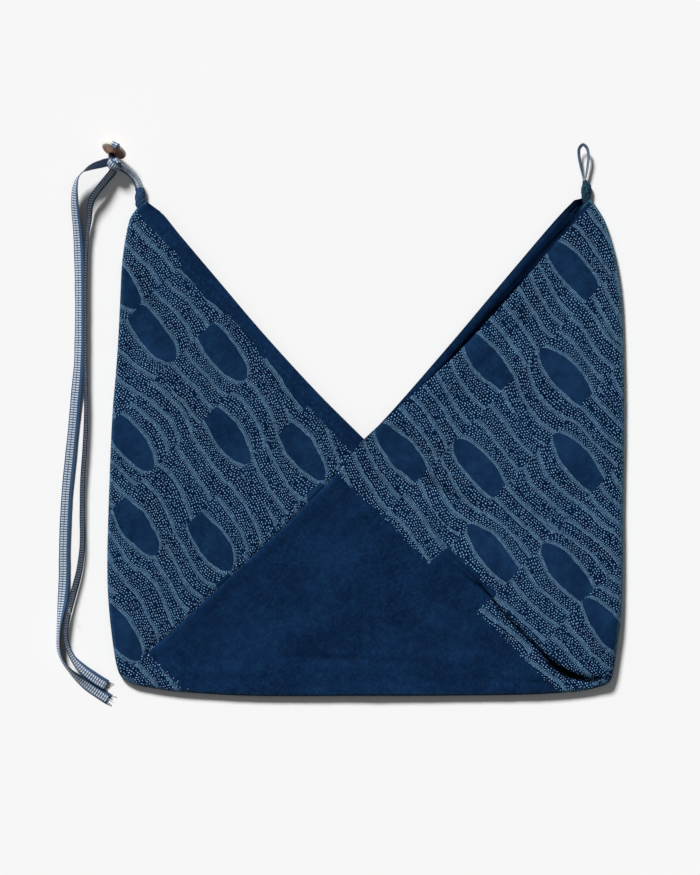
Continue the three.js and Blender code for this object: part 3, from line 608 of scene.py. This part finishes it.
def makeLoop():
    rows = [(x * mm, y * mm, z * mm, tilt) for x, y, z, tilt in loop["route"]]
    centres, across, out = tapeRun(rows, tapeSteps)
    points, faces, marks = ribbon(centres, across, out, loop["width"] * mm, loop["thick"] * mm)
    return addMesh("thinLoop", points, faces, {"lie": marks}, loopShade(), ["button_loop"])


makeButton()
makeKnot()
makeLoop()
print("knot, button, tabs and loop made")

# ---- the cloth, folded into a pouch; sizes in millimetres until its mesh is made

bag = {
    "thick": 0.8, "hemThick": 1.6, "rollShare": 0.5, "backInset": 2.5, "edgeReach": 4,
    "widening": 50, "turnIn": 22, "stand": 6.0, "standWide": 12, "creases": 2.0, "peakDraw": 0.5, "stripPull": 6,
    "tuckPull": 14, "stripWidth": 338, "wearAndBounceReach": 9, "outlineSteps": 60,
    "panelSteps": (12, 13, 12), "finePanel": 6, "fineStrip": 3, "rings": 64, "backRings": 22,
    "rounds": (0.82, 0.62, 0.42, 0.24, 0.1, 0.02, 0),
    "leftMouth": [(-2, 9, 8.2), (-49, 56, 8.4), (-103, 115, 8.6), (-148, 168, 8.4), (-186, 213, 8.6),
                  (-206, 237, 8.4), (-220, 247, 8)],
    "seamLine": [(-2, 9, 8.2), (-36, -32, 8.4), (-129, -122, 8.6), (-170, -160, 8.4), (-208, -195, 8.2),
                 (-245, -229, 8)],
    "rightMouth": [(-2, 9, 8.2), (14, 23, 8.4), (49, 56, 8.8), (84, 88, 8.6), (132, 139, 9), (184, 199, 9),
                   (212, 234, 9), (224, 250, 8.4)],
    "rightBackMouth": [(-2, 9, 8.2), (14, 24, 0), (74, 92, 0), (134, 163, 0), (192, 231, 0), (205, 244.5, 0),
                       (214, 252, 0), (224, 250, 0)],
    "tuckLine": [(-2, 9, 8.2), (20, -25, 8.2), (69, -97, 8.2), (101, -128, 8.2), (134, -160, 8.2),
                 (166, -193, 8.2), (196, -221, 8.2), (222, -231, 8.2), (244, -234, 8.2)],
    "outline": [(-220, 247, 8), (-230, 241, 8), (-241, 213, 8.4), (-245, 168, 9), (-249, 93, 8.6), (-254, 33, 8.4),
                (-257.5, -52, 8.4), (-259, -112, 8.6), (-257.5, -162, 8.4), (-253, -195, 8.2), (-245, -229, 8),
                (-218, -240.5, 8), (-186, -244, 8), (-126, -248, 8.2), (-16, -248.5, 8.4), (94, -248, 8.6),
                (174, -246.5, 8.6), (214, -243.5, 8.6), (234, -239, 9.4), (244, -234, 10.6), (251, -202, 13.4),
                (254.5, -177, 13), (257, -132, 11), (257.5, -52, 9.6), (258.5, 18, 9.2), (258, 88, 9.2),
                (255.5, 153, 9.2), (251, 186, 9), (243, 218, 8.8), (233, 239, 8.6), (224, 250, 8.4)],
    "leftCorner": 10, "rightCorner": 19,
    # across, lift, place on the outline, share of doubled cloth
    "leftHem": [(0, 0, 0, 1), (2.5, 0.6, 5, 1), (21, 0.5, 22, 1), (25, 0, 30, 0)],
    "seam": [(-8, 0, -13, 0), (-1.5, 0, -4, 0), (0.3, -0.9, 0, 0), (2, 0.5, 4, 0), (8.5, 0.5, 12, 0), (12, 0, 18, 0)],
    "rightHem": [(-25, 0, -32, 0), (-21, 0.5, -24, 1), (-2.5, 0.6, -6, 1), (0, 0, 0, 1)],
    # across when folded, across when flat, share of the rise, place on the outline, share of the hollow
    "tuck": [(-9, -7, 0, -34, 0), (-1.5, -5, 0, -26, 0.8), (8, -3, 0.05, -19, 1.1), (10.4, -1, 0.22, -13, 1.1),
             (8, 1, 0.42, -8, 1), (2, 3, 0.46, -4, 0.6), (-0.6, 5, 0.7, 0, 0), (2, 7, 0.96, 5, 0), (9, 10, 1, 14, 0),
             (17, 15, 1, 26, 0)],
    # share of the way, low side, high side, how folded, depth of the hollow
    "tuckRun": [(0, 8.2, 8.2, 0, 0), (0.22, 7.8, 8.4, 0, 0), (0.37, 7.6, 9.2, 0, 0), (0.43, 7.5, 10.8, 0.02, 0),
                (0.5, 7.4, 13.6, 0.08, 0), (0.57, 7.3, 14, 0.5, 0), (0.63, 7.3, 14, 1, 0.3), (0.8, 7.3, 14.1, 1, 2),
                (0.87, 7.3, 14.2, 1, 5), (0.92, 7.3, 14.4, 1, 5.4), (0.95, 7.5, 13.8, 0.5, 3.4),
                (0.975, 8, 12.4, 0.05, 0.5), (1, 8.8, 11, 0, 0)],
}

# soft folds and creases: middle, half lengths along and across, turn, height
creases = [
    (62, -39, 46, 9, -28, -1.0), (84, -28, 40, 9, -28, 0.6), (20, -56, 40, 14, -55, -0.7),
    (-64, 45, 34, 12, 132, 0.7), (-230, 165, 30, 12, 92, 1.0), (-231, 92, 24, 13, 80, -0.8),
    (-56, -162, 52, 14, 12, -0.7), (57, -214, 60, 14, 2, 0.8), (-54, -208, 42, 9, 0, -0.7),
    (124, 85, 44, 16, -24, 0.8), (154, 120, 40, 13, -30, -0.7), (200, -60, 70, 20, -62, 0.8),
    # finer ones
    (-20, -212, 46, 2.6, -2, -0.55), (-22, -206, 44, 3.6, -2, 0.4), (-60, 46, 26, 3, 128, -0.45),
    (18, -38, 44, 7, -44, -0.9), (60, -60, 44, 10, -44, 0.6), (-96, 96, 18, 3, 40, 0.35),
    (-150, 160, 22, 3, 128, 0.4), (70, -30, 34, 3.4, -30, 0.5),
    (40, -8, 30, 4, -48, -0.5), (120, -95, 46, 4.5, -44, 0.55), (134, -100, 40, 4, -46, -0.45),
    (176, -160, 40, 4, -52, 0.6), (190, -150, 36, 4, -54, -0.5), (-226, 130, 26, 4, 86, -0.5),
    (-236, -110, 40, 4.5, 92, 0.5), (-244, -150, 26, 3.5, 80, -0.4), (-215, -215, 18, 4, 30, -0.6),
    (-150, -225, 40, 5, 4, 0.5), (150, -228, 34, 4, -4, 0.5), (236, 40, 50, 5, 88, 0.5),
    (228, 120, 34, 4, 84, -0.5), (228, -140, 30, 5, 84, 0.6), (90, -190, 40, 7, -36, 0.5),
    (196, 150, 26, 4, 44, -0.4), (-10, -70, 30, 6, 40, 0.4), (-100, -170, 34, 6, -28, 0.4),
]


class Ray:
    # a line of cloth from the V to a place on the outline
    def __init__(self, along, guide, pull, hem=0, hollow=0):
        self.along, self.hem = along, hem
        share = np.array([min(max(along / outline.length, 0), 1)])
        self.edge, self.inward = outline.at(share)[0], outline.side(share)[0]
        self.guide, self.pull, self.hollow = guide, pull, hollow
        self.draw = self.edge - guide(np.ones(1))[0]
        self.length = math.hypot(*(self.edge - vNotch)[:2])
        self.roll = bag["rollShare"] * self.edge[2]

    def line(self, r):
        points = self.guide(r) + self.draw * self.pull(r)[:, None]
        away = (1 - r) * self.length
        square = (1 - smooth(away, self.roll, bag["turnIn"]))[:, None]
        straight = self.edge[:2] + self.inward[:2] * away[:, None]
        points[:, :2] += (straight - points[:, :2]) * square
        return points


def fan(length, r):
    return np.minimum(1, r * length / bag["widening"])


def stripRays(rows, key, end):
    curve = Line(bag[key])

    def guideFor(w, lift, hem):
        def guide(r):
            spread = (fan(curve.length, r) * (1 - hem * bag["peakDraw"] * r**8))[:, None]
            return curve.at(r) + curve.side(r) * w * spread + np.array([0, 0, lift]) * spread
        return guide
    return [Ray(end + along, guideFor(w, lift, hem), lambda r: r ** bag["stripPull"], hem)
            for w, lift, along, hem in rows]


def tuckRays(end):
    curve = Line(bag["tuckLine"])
    table = np.array(bag["tuckRun"])

    def guideFor(w, flat, share, reach, hollow):
        def guide(r):
            u = r * (1 + reach * r**3)
            low, high, folded, dip = (np.interp(r, table[:, 0], table[:, k]) for k in (1, 2, 3, 4))
            across = (flat + (w - flat) * folded + (0.2 < share < 1) * dip * 0.7) * fan(curve.length, r)
            points = curve.at(u) + curve.side(u) * across[:, None]
            points[:, 2] = low + (high - low) * share - dip * hollow * (share < 0.3)
            return points
        return guide
    return [Ray(end + along, guideFor(w, flat, share, min(0, along) / curve.length, hollow),
                lambda r: r ** bag["tuckPull"], hollow=hollow) for w, flat, share, along, hollow in bag["tuck"]]


def panelRays(first, last, steps):
    def guideFor(q):
        return lambda r: first.line(r) * (1 - q) + last.line(r) * q
    return [Ray(first.along + (last.along - first.along) * i / steps, guideFor(i / steps), lambda r: r, 0)
            for i in range(1, steps)]


outline = Line(bag["outline"], bag["outlineSteps"])
vNotch = np.array(bag["leftMouth"][0], float)
cornerAt = [bag[key] * bag["outlineSteps"] for key in ("leftCorner", "rightCorner")]
corners = [outline.run[i] for i in cornerAt]


def bagRays():
    hemLeft = stripRays(bag["leftHem"], "leftMouth", 0)
    seam = stripRays(bag["seam"], "seamLine", corners[0])
    tuck = tuckRays(corners[1])
    hemRight = stripRays(bag["rightHem"], "rightMouth", outline.length)
    left, bottom, right = bag["panelSteps"]
    groups = [hemLeft, panelRays(hemLeft[-1], seam[0], left), seam, panelRays(seam[-1], tuck[0], bottom), tuck,
              panelRays(tuck[-1], hemRight[0], right), hemRight]
    rays, steps = [], []
    for k, group in enumerate(groups):
        fine = bag["finePanel"] if k % 2 else bag["fineStrip"]
        steps += [fine] * (len(group) - 1 if k % 2 == 0 else len(group) + 1)
        rays += group
    return rays, steps


def creaseHeight(x, y):
    height = np.zeros_like(x)
    for cx, cy, along, across, turn, h in creases:
        a = math.radians(turn)
        u = ((x - cx) * math.cos(a) + (y - cy) * math.sin(a)) / along
        v = ((y - cy) * math.cos(a) - (x - cx) * math.sin(a)) / across
        height += bag["creases"] * h * np.exp(-(u * u + v * v))
    return height


def ripple(x, y, size, seed):
    flat = [noise.fractal(Vector((a / size, b / size, seed)), 0.8, 2.1, 3) for a, b in zip(x.ravel(), y.ravel())]
    return np.array(flat).reshape(x.shape)


def turnover(d):
    return np.sqrt(1 - (1 - np.clip(d, 0, 1)) ** 2)


def stripMap(panel, back):
    # turns x, y of a flat panel of the pouch into the place on the flat strip
    wide = bag["stripWidth"]
    leftPeak, leftCorner, rightCorner, rightPeak = outline.dense[[0, *cornerAt, -1]]
    ends = ((leftPeak, leftCorner), (leftCorner, rightCorner), (rightCorner, rightPeak))[panel]
    strip = (((0, 1), (1, 0)), ((1, 0), (2, 1)), ((2, 1), (3, 0)))[panel]
    heart = ((1, 1), (1, 1), (3, 1))[panel] if back else ((0, 0), (2, 0), (2, 0))[panel]
    spots = np.array([[*p[:2], 1] for p in (vNotch, *ends)])
    return np.linalg.solve(spots, wide * np.array([heart, *strip], float))


def onStrip(spot, flatten):
    return spot[:2] @ flatten[:2] + flatten[2]


def makeBag():
    rays, steps = bagRays()
    flat = np.concatenate([[0.014], np.linspace(0.03, 1, bag["rings"]) ** 0.92])
    backFlat = np.linspace(0.04, 1, bag["backRings"]) ** 0.85
    roll = np.array([ray.roll for ray in rays])
    lengths = np.array([ray.length for ray in rays])

    def sharesOf(shares, rolled, length):
        return np.concatenate([shares * (1 - rolled / length), [1 - d * rolled / length for d in bag["rounds"]]])
    grid = refine(np.array([ray.line(sharesOf(flat, ray.roll, ray.length)) for ray in rays]), steps)
    places = np.concatenate([[i + k / n for k in range(n)] for i, n in enumerate(steps)] + [[len(rays) - 1]])
    linear = lambda values: np.interp(places, np.arange(len(rays)), values)
    along = linear([ray.along for ray in rays])
    hem = linear([ray.hem for ray in rays])
    rollFine, lengthFine, hollow = linear(roll), linear(lengths), linear([ray.hollow for ray in rays])
    table = np.array(bag["tuckRun"])
    dip = lambda share: np.interp(share, table[:, 0], table[:, 4]) / table[:, 4].max()
    shares = np.array([sharesOf(flat, a, b) for a, b in zip(rollFine, lengthFine)])
    columns, ringCount = shares.shape
    edgeHeight = grid[:, -1, 2]
    middle = (edgeHeight / 2)[:, None]
    x, y = grid[..., 0], grid[..., 1]
    away = (1 - shares) * lengthFine[:, None]
    calm = np.minimum(1, shares * 8)
    top = grid[..., 2] + creaseHeight(x, y) * calm
    top = top + (0.5 * ripple(x, y, 55, 1.7) + 0.22 * ripple(x, y, 17, 6.1)) * calm
    grid[..., 2] = middle + (top - middle) * turnover(away / rollFine[:, None])

    backShares = np.array([sharesOf(backFlat, a, b) for a, b in zip(rollFine, lengthFine)])
    edge = grid[:, -1]
    left, right = Line(bag["leftMouth"]), Line(bag["rightBackMouth"])
    r = backShares[..., None]
    back = vNotch * (1 - r) + edge[:, None] * r
    bow = lambda line: line.at(backShares) - (line.at(0.0) * (1 - r) + line.at(1.0) * r)
    inset = (bag["backInset"] * fan(left.length, backShares) * (1 - backShares))[..., None]
    q = (along / outline.length)[:, None, None]
    back = back + (bow(left) + left.side(backShares) * inset) * (1 - q) ** bag["edgeReach"]
    back = back + bow(right) * q ** bag["edgeReach"]
    backAway = (1 - backShares) * lengthFine[:, None]
    back[..., 2] = middle * (1 - turnover(backAway / rollFine[:, None]))
    # the back's mouth edge at the right stands up beside the front's hem
    fromEdge = (outline.length - along)[:, None] * backShares
    strip = bag["standWide"] * smooth(backShares, 0.05, 0.35) * (1 - smooth(backShares, 0.86, 0.99)) + 0.5
    stand = bag["stand"] * smooth(backShares, 0.1, 0.6) * (1 - smooth(backShares, 0.93, 1.0))
    back[..., 2] += stand * (1 - smooth(fromEdge / strip, 0.5, 0.95))

    # outer skin: front rows, back rows, the shared edge and the two tips
    edgeAt = np.arange(columns)
    points = [edge]
    frontAt = columns + np.arange(columns * (ringCount - 1)).reshape(columns, -1)
    points.append(grid[:, :-1].reshape(-1, 3))
    start = columns + frontAt.size
    backAt = start + np.arange(columns * (back.shape[1] - 1)).reshape(columns, -1)
    points.append(back[:, :-1].reshape(-1, 3))
    tips = start + backAt.size
    points.append(np.array([vNotch, [vNotch[0], vNotch[1], 0]]))
    points = np.vstack(points)
    frontAt = np.hstack([frontAt, edgeAt[:, None]])
    backAt = np.hstack([backAt, edgeAt[:, None]])
    thickOf = bag["thick"] + (bag["hemThick"] - bag["thick"]) * hem
    thick = np.concatenate([thickOf, np.repeat(thickOf, ringCount - 1), np.repeat(thickOf, back.shape[1] - 1),
                            [bag["hemThick"]] * 2])

    faces, corner = [], []
    count = len(points)
    skins = (frontAt, shares, False, tips), (backAt, backShares, True, tips + 1)
    for at, share, isBack, tip in skins:
        rings = at.shape[1]
        for c in range(columns - 1):
            mid = (along[c] + along[c + 1]) / 2
            panel = 0 if mid < corners[0] else (1 if mid < corners[1] else 2)
            flatten = stripMap(panel, isBack)
            place = [[onStrip(spot, flatten) for spot in points[at[k]]] for k in (c, c + 1)]
            # 1 at the rolled edge, which is painted paler (wear and painted bounce light), down to -1 in the tuck's
            # hollow, which is painted dark as shade
            rolled = [[max(0.0, 1 - (1 - share[k, j]) * lengthFine[k] / bag["wearAndBounceReach"])
                       or (isBack - 1) * hollow[k] * dip(share[k, j]) for j in range(rings)] for k in (c, c + 1)]
            spot = lambda k, j: (at[c + k, j], place[k][j], rolled[k][j])
            cells = [[(tip, onStrip(vNotch, flatten), 0), (at[c, 0], place[0][0], 0), (at[c + 1, 0], place[1][0], 0)]]
            cells += [[spot(0, j), spot(0, j + 1), spot(1, j + 1), spot(1, j)] for j in range(rings - 1)]
            for cell in cells:
                if isBack:
                    cell = cell[::-1]
                faces.append([i for i, _, _ in cell])
                corner += [(s, t, w) for _, (s, t), w in cell]
    outer = len(faces)
    print("bag skin:", count, "points,", outer, "faces")

    normals = np.zeros_like(points)
    quads = np.array([f for f in faces if len(f) == 4])
    tris = np.array([f for f in faces if len(f) == 3])
    for group in (quads, tris):
        a, b, c = points[group[:, 0]], points[group[:, 1]], points[group[:, 2]]
        d = points[group[:, -1]]
        turned = np.cross(c - a, d - b) if group.shape[1] == 4 else np.cross(b - a, c - a)
        for k in range(group.shape[1]):
            np.add.at(normals, group[:, k], turned)
    inner = points - unit(normals) * thick[:, None]
    inner[:, 2] = np.maximum(inner[:, 2], 0.1)
    corner = np.array(corner)
    ends = np.cumsum([len(f) for f in faces])
    inside, insideMarks = [], []
    for f, end in zip(faces, ends):
        inside.append([i + count for i in f[::-1]])
        insideMarks.append(corner[end - len(f):end][::-1] + np.array([0, 0, -10]))
    rims, rimMarks = [], []
    for at, _, isBack, tip in skins:
        for c, panel, flip in ((0, 0, isBack), (columns - 1, 2, not isBack)):
            line = [tip, *at[c]]
            flatten = stripMap(panel, isBack)
            where = [onStrip(spot, flatten) for spot in points[line]]
            for k in range(len(line) - 1):
                pair = [(line[k], where[k]), (line[k + 1], where[k + 1])]
                if not flip:
                    pair = pair[::-1]
                (a, pa), (b, pb) = pair
                rims.append([b, a, a + count, b + count])
                rimMarks += [(*pb, -10), (*pa, -10), (*pa, -10), (*pb, -10)]
    marks = np.vstack([corner, *insideMarks, np.array(rimMarks)])
    points = np.vstack([points, inner]) * mm
    return addMesh("bagCloth", points, faces + inside + rims, {"strip": marks}, bagShade(),
                   ["bag_cloth"])


# the dotted print, and the dye with painted shade and painted bounce light; sizes in millimetres
dots = {
    "column": 66, "ovalStep": 128, "slant": 0.08, "shift": 7, "stagger": 28,
    "ovalHalf": 13.5, "ovalReach": 38, "ovalLean": 5, "calm": 0.028,
    "bandLeast": 16.5, "bandMore": 8,
    # for tight rows, how much more for the row beyond them, how much more again for scattered dots
    "tightRows": 3, "row": (1.3, 0.7, 0.85), "gap": (1.3, 0.7, 0.8), "loose": (0.04, 0.14, 0.2),
    "size": (0.38, 0.07, 0.06), "strength": (0.78, 0.02, 0.1),
    # where the print runs along the strip
    "firstStart": 19, "firstEnd": 376, "secondStart": 632, "shortColumn": 2, "short": 25,
    # where ovals show in the ground, and where the print stops beside the tuck
    "ovalsFrom": 25, "ovalsAgain": 634, "tuckFade": (790, 880, (-20.0, 5.5)),
    # the hem at the right peak, and the stitches of the hem
    "rightSide": 700, "stitchAt": 13.5, "stitchStep": 7.4,
}
dyeAndPaintedLighting = {
    "deep": ((0.0014, 0.0108, 0.04), (0.0026, 0.0155, 0.053)), "light": (0.0048, 0.0265, 0.079),
    # hollow is painted shade for the tuck's hollow; worn is partly wear, partly painted light bounced from the table
    "ovals": (0.007, 0.032, 0.086), "between": (0.0008, 0.0085, 0.034), "hollow": (0.0004, 0.001, 0.003),
    "mottle": ((0.66, 0.72, 0.76), (1.3, 1.26, 1.22)), "worn": (0.075, 0.19, 0.25), "stitch": (0.02, 0.07, 0.13),
    "pale": ((0.17, 0.37, 0.57), (0.31, 0.57, 0.86)),
}


def bagShade():
    # dotted bands round plain ovals on indigo; s and t run along and across the strip
    shade = Shade("bagCloth")
    s, t, rolled = shade.mark("strip")
    outside = rolled > -5
    flatPlace = shade.vector(s, t)
    x = t + (shade.cloud(flatPlace, 0.03, 2.0) - 0.5) * 5
    y = s + (shade.cloud(shade.vector(s, t, 40.0), 0.03, 2.0) - 0.5) * 9

    # columns of the cloth, each with ovals at its own places
    column = shade.floor(x / dots["column"])
    u = (shade.fract(x / dots["column"]) - 0.5) * dots["column"]
    v = y + u * dots["slant"] - dots["shift"] - shade.sine(column * 2.5 - 0.7) * dots["stagger"]
    cell = shade.floor(v / dots["ovalStep"])
    w = (shade.fract(v / dots["ovalStep"]) - 0.5) * dots["ovalStep"]
    lean = (u - dots["ovalLean"]) / dots["ovalReach"]
    half = shade.sqrt(shade.larger(1 - lean * lean, 0.0)) * dots["ovalHalf"]
    beyond = shade.larger(abs(w) - half, 0.0)
    upper = w > 0
    side = upper * 2 - 1
    out = abs(w) - half * shade.math("EXPONENT", beyond * -dots["calm"])
    out = out + side * shade.sine(u * 0.05 + column) * 4 * shade.rise(out, 0, 25)

    # bands: tight rows at the inner edge, one wider row, then scattered dots
    wide = shade.chance(column, cell, side)[0] * dots["bandMore"] + dots["bandLeast"]
    band = shade.floor(out / wide)
    e = shade.fract(out / wide) * wide
    tightRow, nextRow = dots["row"][0], dots["row"][0] + dots["row"][1]
    tightEnd = dots["tightRows"] * tightRow
    nextEnd = tightEnd + nextRow
    past, far = e > tightEnd, e > nextEnd
    f = shade.smaller(e, tightEnd) / tightRow + shade.smaller(shade.larger(e - tightEnd, 0.0), nextRow) / nextRow
    f = f + shade.larger(e - nextEnd, 0.0) / sum(dots["row"])

    def byRow(key):
        tight, more, scattered = dots[key]
        return past * more + far * scattered + tight
    row = shade.floor(f)
    dice = shade.chance(row, band * 7 + column * 31, cell + side * 3)
    q = u / byRow("gap") + row * 0.5 + dice[0] * 0.3
    jitter = shade.chance(shade.floor(q), row + band * 11, column + side * 5 + cell * 17)
    dx = (shade.fract(q) - 0.5 + (jitter[0] - 0.5) * byRow("loose")) * byRow("gap")
    dy = (shade.fract(f) - 0.5 + (jitter[1] - 0.5) * byRow("loose")) * byRow("row")
    away = shade.sqrt(dx * dx + dy * dy)
    dot = 1 - shade.rise(away / (byRow("size") * (0.8 + jitter[2] * 0.4)), 0.7, 1.3)
    kept = (out > 0) * (jitter[2] > past * 0.04)

    # where the print runs: it starts at a band's inner edge or with scattered dots
    nearEdge = s - e * upper * 0.5 - jitter[0] * 2.5 * (1 - upper)
    uneven = (shade.cloud(flatPlace, 0.02, 1.0) - 0.5) * 12
    short = dots["short"] * (abs(column - dots["shortColumn"]) < 0.5)
    first = (nearEdge > dots["firstStart"] - t * 0.02 + uneven) * (s + jitter[0] * 8 + uneven < dots["firstEnd"])
    second = s - jitter[0] * 3 > dots["secondStart"] + short + uneven * 0.4
    second = second * (t > shade.rise(s, *dots["tuckFade"]))
    printed = (first + second) * outside

    # indigo, mottled, greener at the rolled folds (partly wear, partly painted light bounced from the table), and
    # painted dark as shade in the tuck's hollow
    big = shade.cloud(flatPlace, 0.012, 3.0)
    fine = shade.cloud(flatPlace, 0.3, 5.0, 0.65)
    slubs = shade.cloud(shade.vector(s * 0.09, t * 1.1), 1.0, 2.0)
    slubs = slubs + shade.cloud(shade.vector(s * 1.1, t * 0.09, 7.0), 1.0, 2.0)
    threads = shade.sine(s * 10.1) * 0.5 + shade.sine(t * 9.7) * 0.5
    grain = shade.cloud(flatPlace, 0.62, 3.0, 0.7)
    weave = fine + slubs * 0.4 + grain * 0.5 + threads * 0.04
    deep = shade.mix(shade.rise(big, 0.35, 0.65), *dyeAndPaintedLighting["deep"])
    tint = shade.mix(shade.rise(weave, 0.95, 1.45), deep, dyeAndPaintedLighting["light"])
    zone = (s > dots["ovalsFrom"]) * (s < dots["firstEnd"]) + (s > dots["ovalsAgain"])
    plain = 1 - shade.rise(out, -0.5, 0.8)
    tint = shade.mix(zone * plain * shade.rise(big + fine * 0.4, 0.3, 0.8) * 0.45, tint, dyeAndPaintedLighting["ovals"])
    tint = shade.mix(printed * (1 - plain) * 0.8, tint, dyeAndPaintedLighting["between"])
    # painted shade: the tuck's hollow is darkened nearly to black, and below its dots are taken out
    hollow = shade.rise(rolled * -1, 0.1, 0.9) * outside
    tint = shade.mix(hollow * 0.93, tint, dyeAndPaintedLighting["hollow"])
    mottle = shade.cloud(flatPlace, 0.022, 4.0, 0.6) + shade.cloud(flatPlace, 0.11, 3.0) * 0.6
    tint = shade.mix(1.0, tint, shade.mix(shade.rise(mottle, 0.58, 1.02), *dyeAndPaintedLighting["mottle"]), "MULTIPLY")
    # the rolled folds, most on the right side, turn paler teal: partly wear, partly painted light bounced from the
    # table onto the folds; the right mouth's hem edge takes the same colour
    rightSide = s > dots["rightSide"]
    worn = shade.rise(rolled, 0.5, 0.95) * shade.rise(fine, 0.3, 0.6) * (0.2 + rightSide * 0.6)
    hemEdge = (1 - shade.rise(t, 0.8, 2.2)) * rightSide * outside * 0.45
    tint = shade.mix(shade.larger(worn, hemEdge), tint, dyeAndPaintedLighting["worn"])
    stitch = (1 - shade.rise(abs(s - dots["stitchAt"]), 0.25, 0.55)) * (shade.fract(t / dots["stitchStep"]) > 0.45)
    tint = shade.mix(stitch * 0.3, tint, dyeAndPaintedLighting["stitch"])

    shown = dot * kept * printed * (1 - hollow)
    pale = shade.mix(shade.rise(fine, 0.3, 0.7), *dyeAndPaintedLighting["pale"])
    colour = shade.mix(shown * byRow("strength"), tint, pale)
    shade.bump(threads * 0.4 + fine * 0.8 + grain * 0.8 + slubs * 0.6 + shown * 0.15, 0.0003, 0.6)
    return shade.finish(colour, 0.92)


bagPiece = makeBag()
print("bag made,", len(bagPiece.data.polygons), "faces")


# ---- table and light

light = {"sun": 5.09, "spread": 13, "along": (0.65, -1.3, -1.0), "fill": 0.15, "floor": (0.87, 0.87, 0.87),
         "table": 8}


def makeStage():
    bpy.ops.mesh.primitive_plane_add(size=light["table"], location=(0, 0, 0))
    ground = bpy.context.object
    ground.name = "table"
    shade = Shade("table")
    ground.data.materials.append(shade.finish((*light["floor"], 1), 0.9))
    lamp = bpy.data.lights.new("sun", "SUN")
    lamp.energy = light["sun"]
    lamp.angle = math.radians(light["spread"])
    sun = bpy.data.objects.new("sun", lamp)
    sun.rotation_mode = "QUATERNION"
    sun.rotation_quaternion = Vector(light["along"]).to_track_quat("-Z", "Y")
    bpy.context.scene.collection.objects.link(sun)
    world = bpy.data.worlds.new("sky")
    bpy.context.scene.world = world
    world.use_nodes = True
    sky = world.node_tree.nodes["Background"]
    sky.inputs["Color"].default_value = (1.0, 1.0, 1.0, 1)
    sky.inputs["Strength"].default_value = light["fill"]


makeStage()
print("stage set")
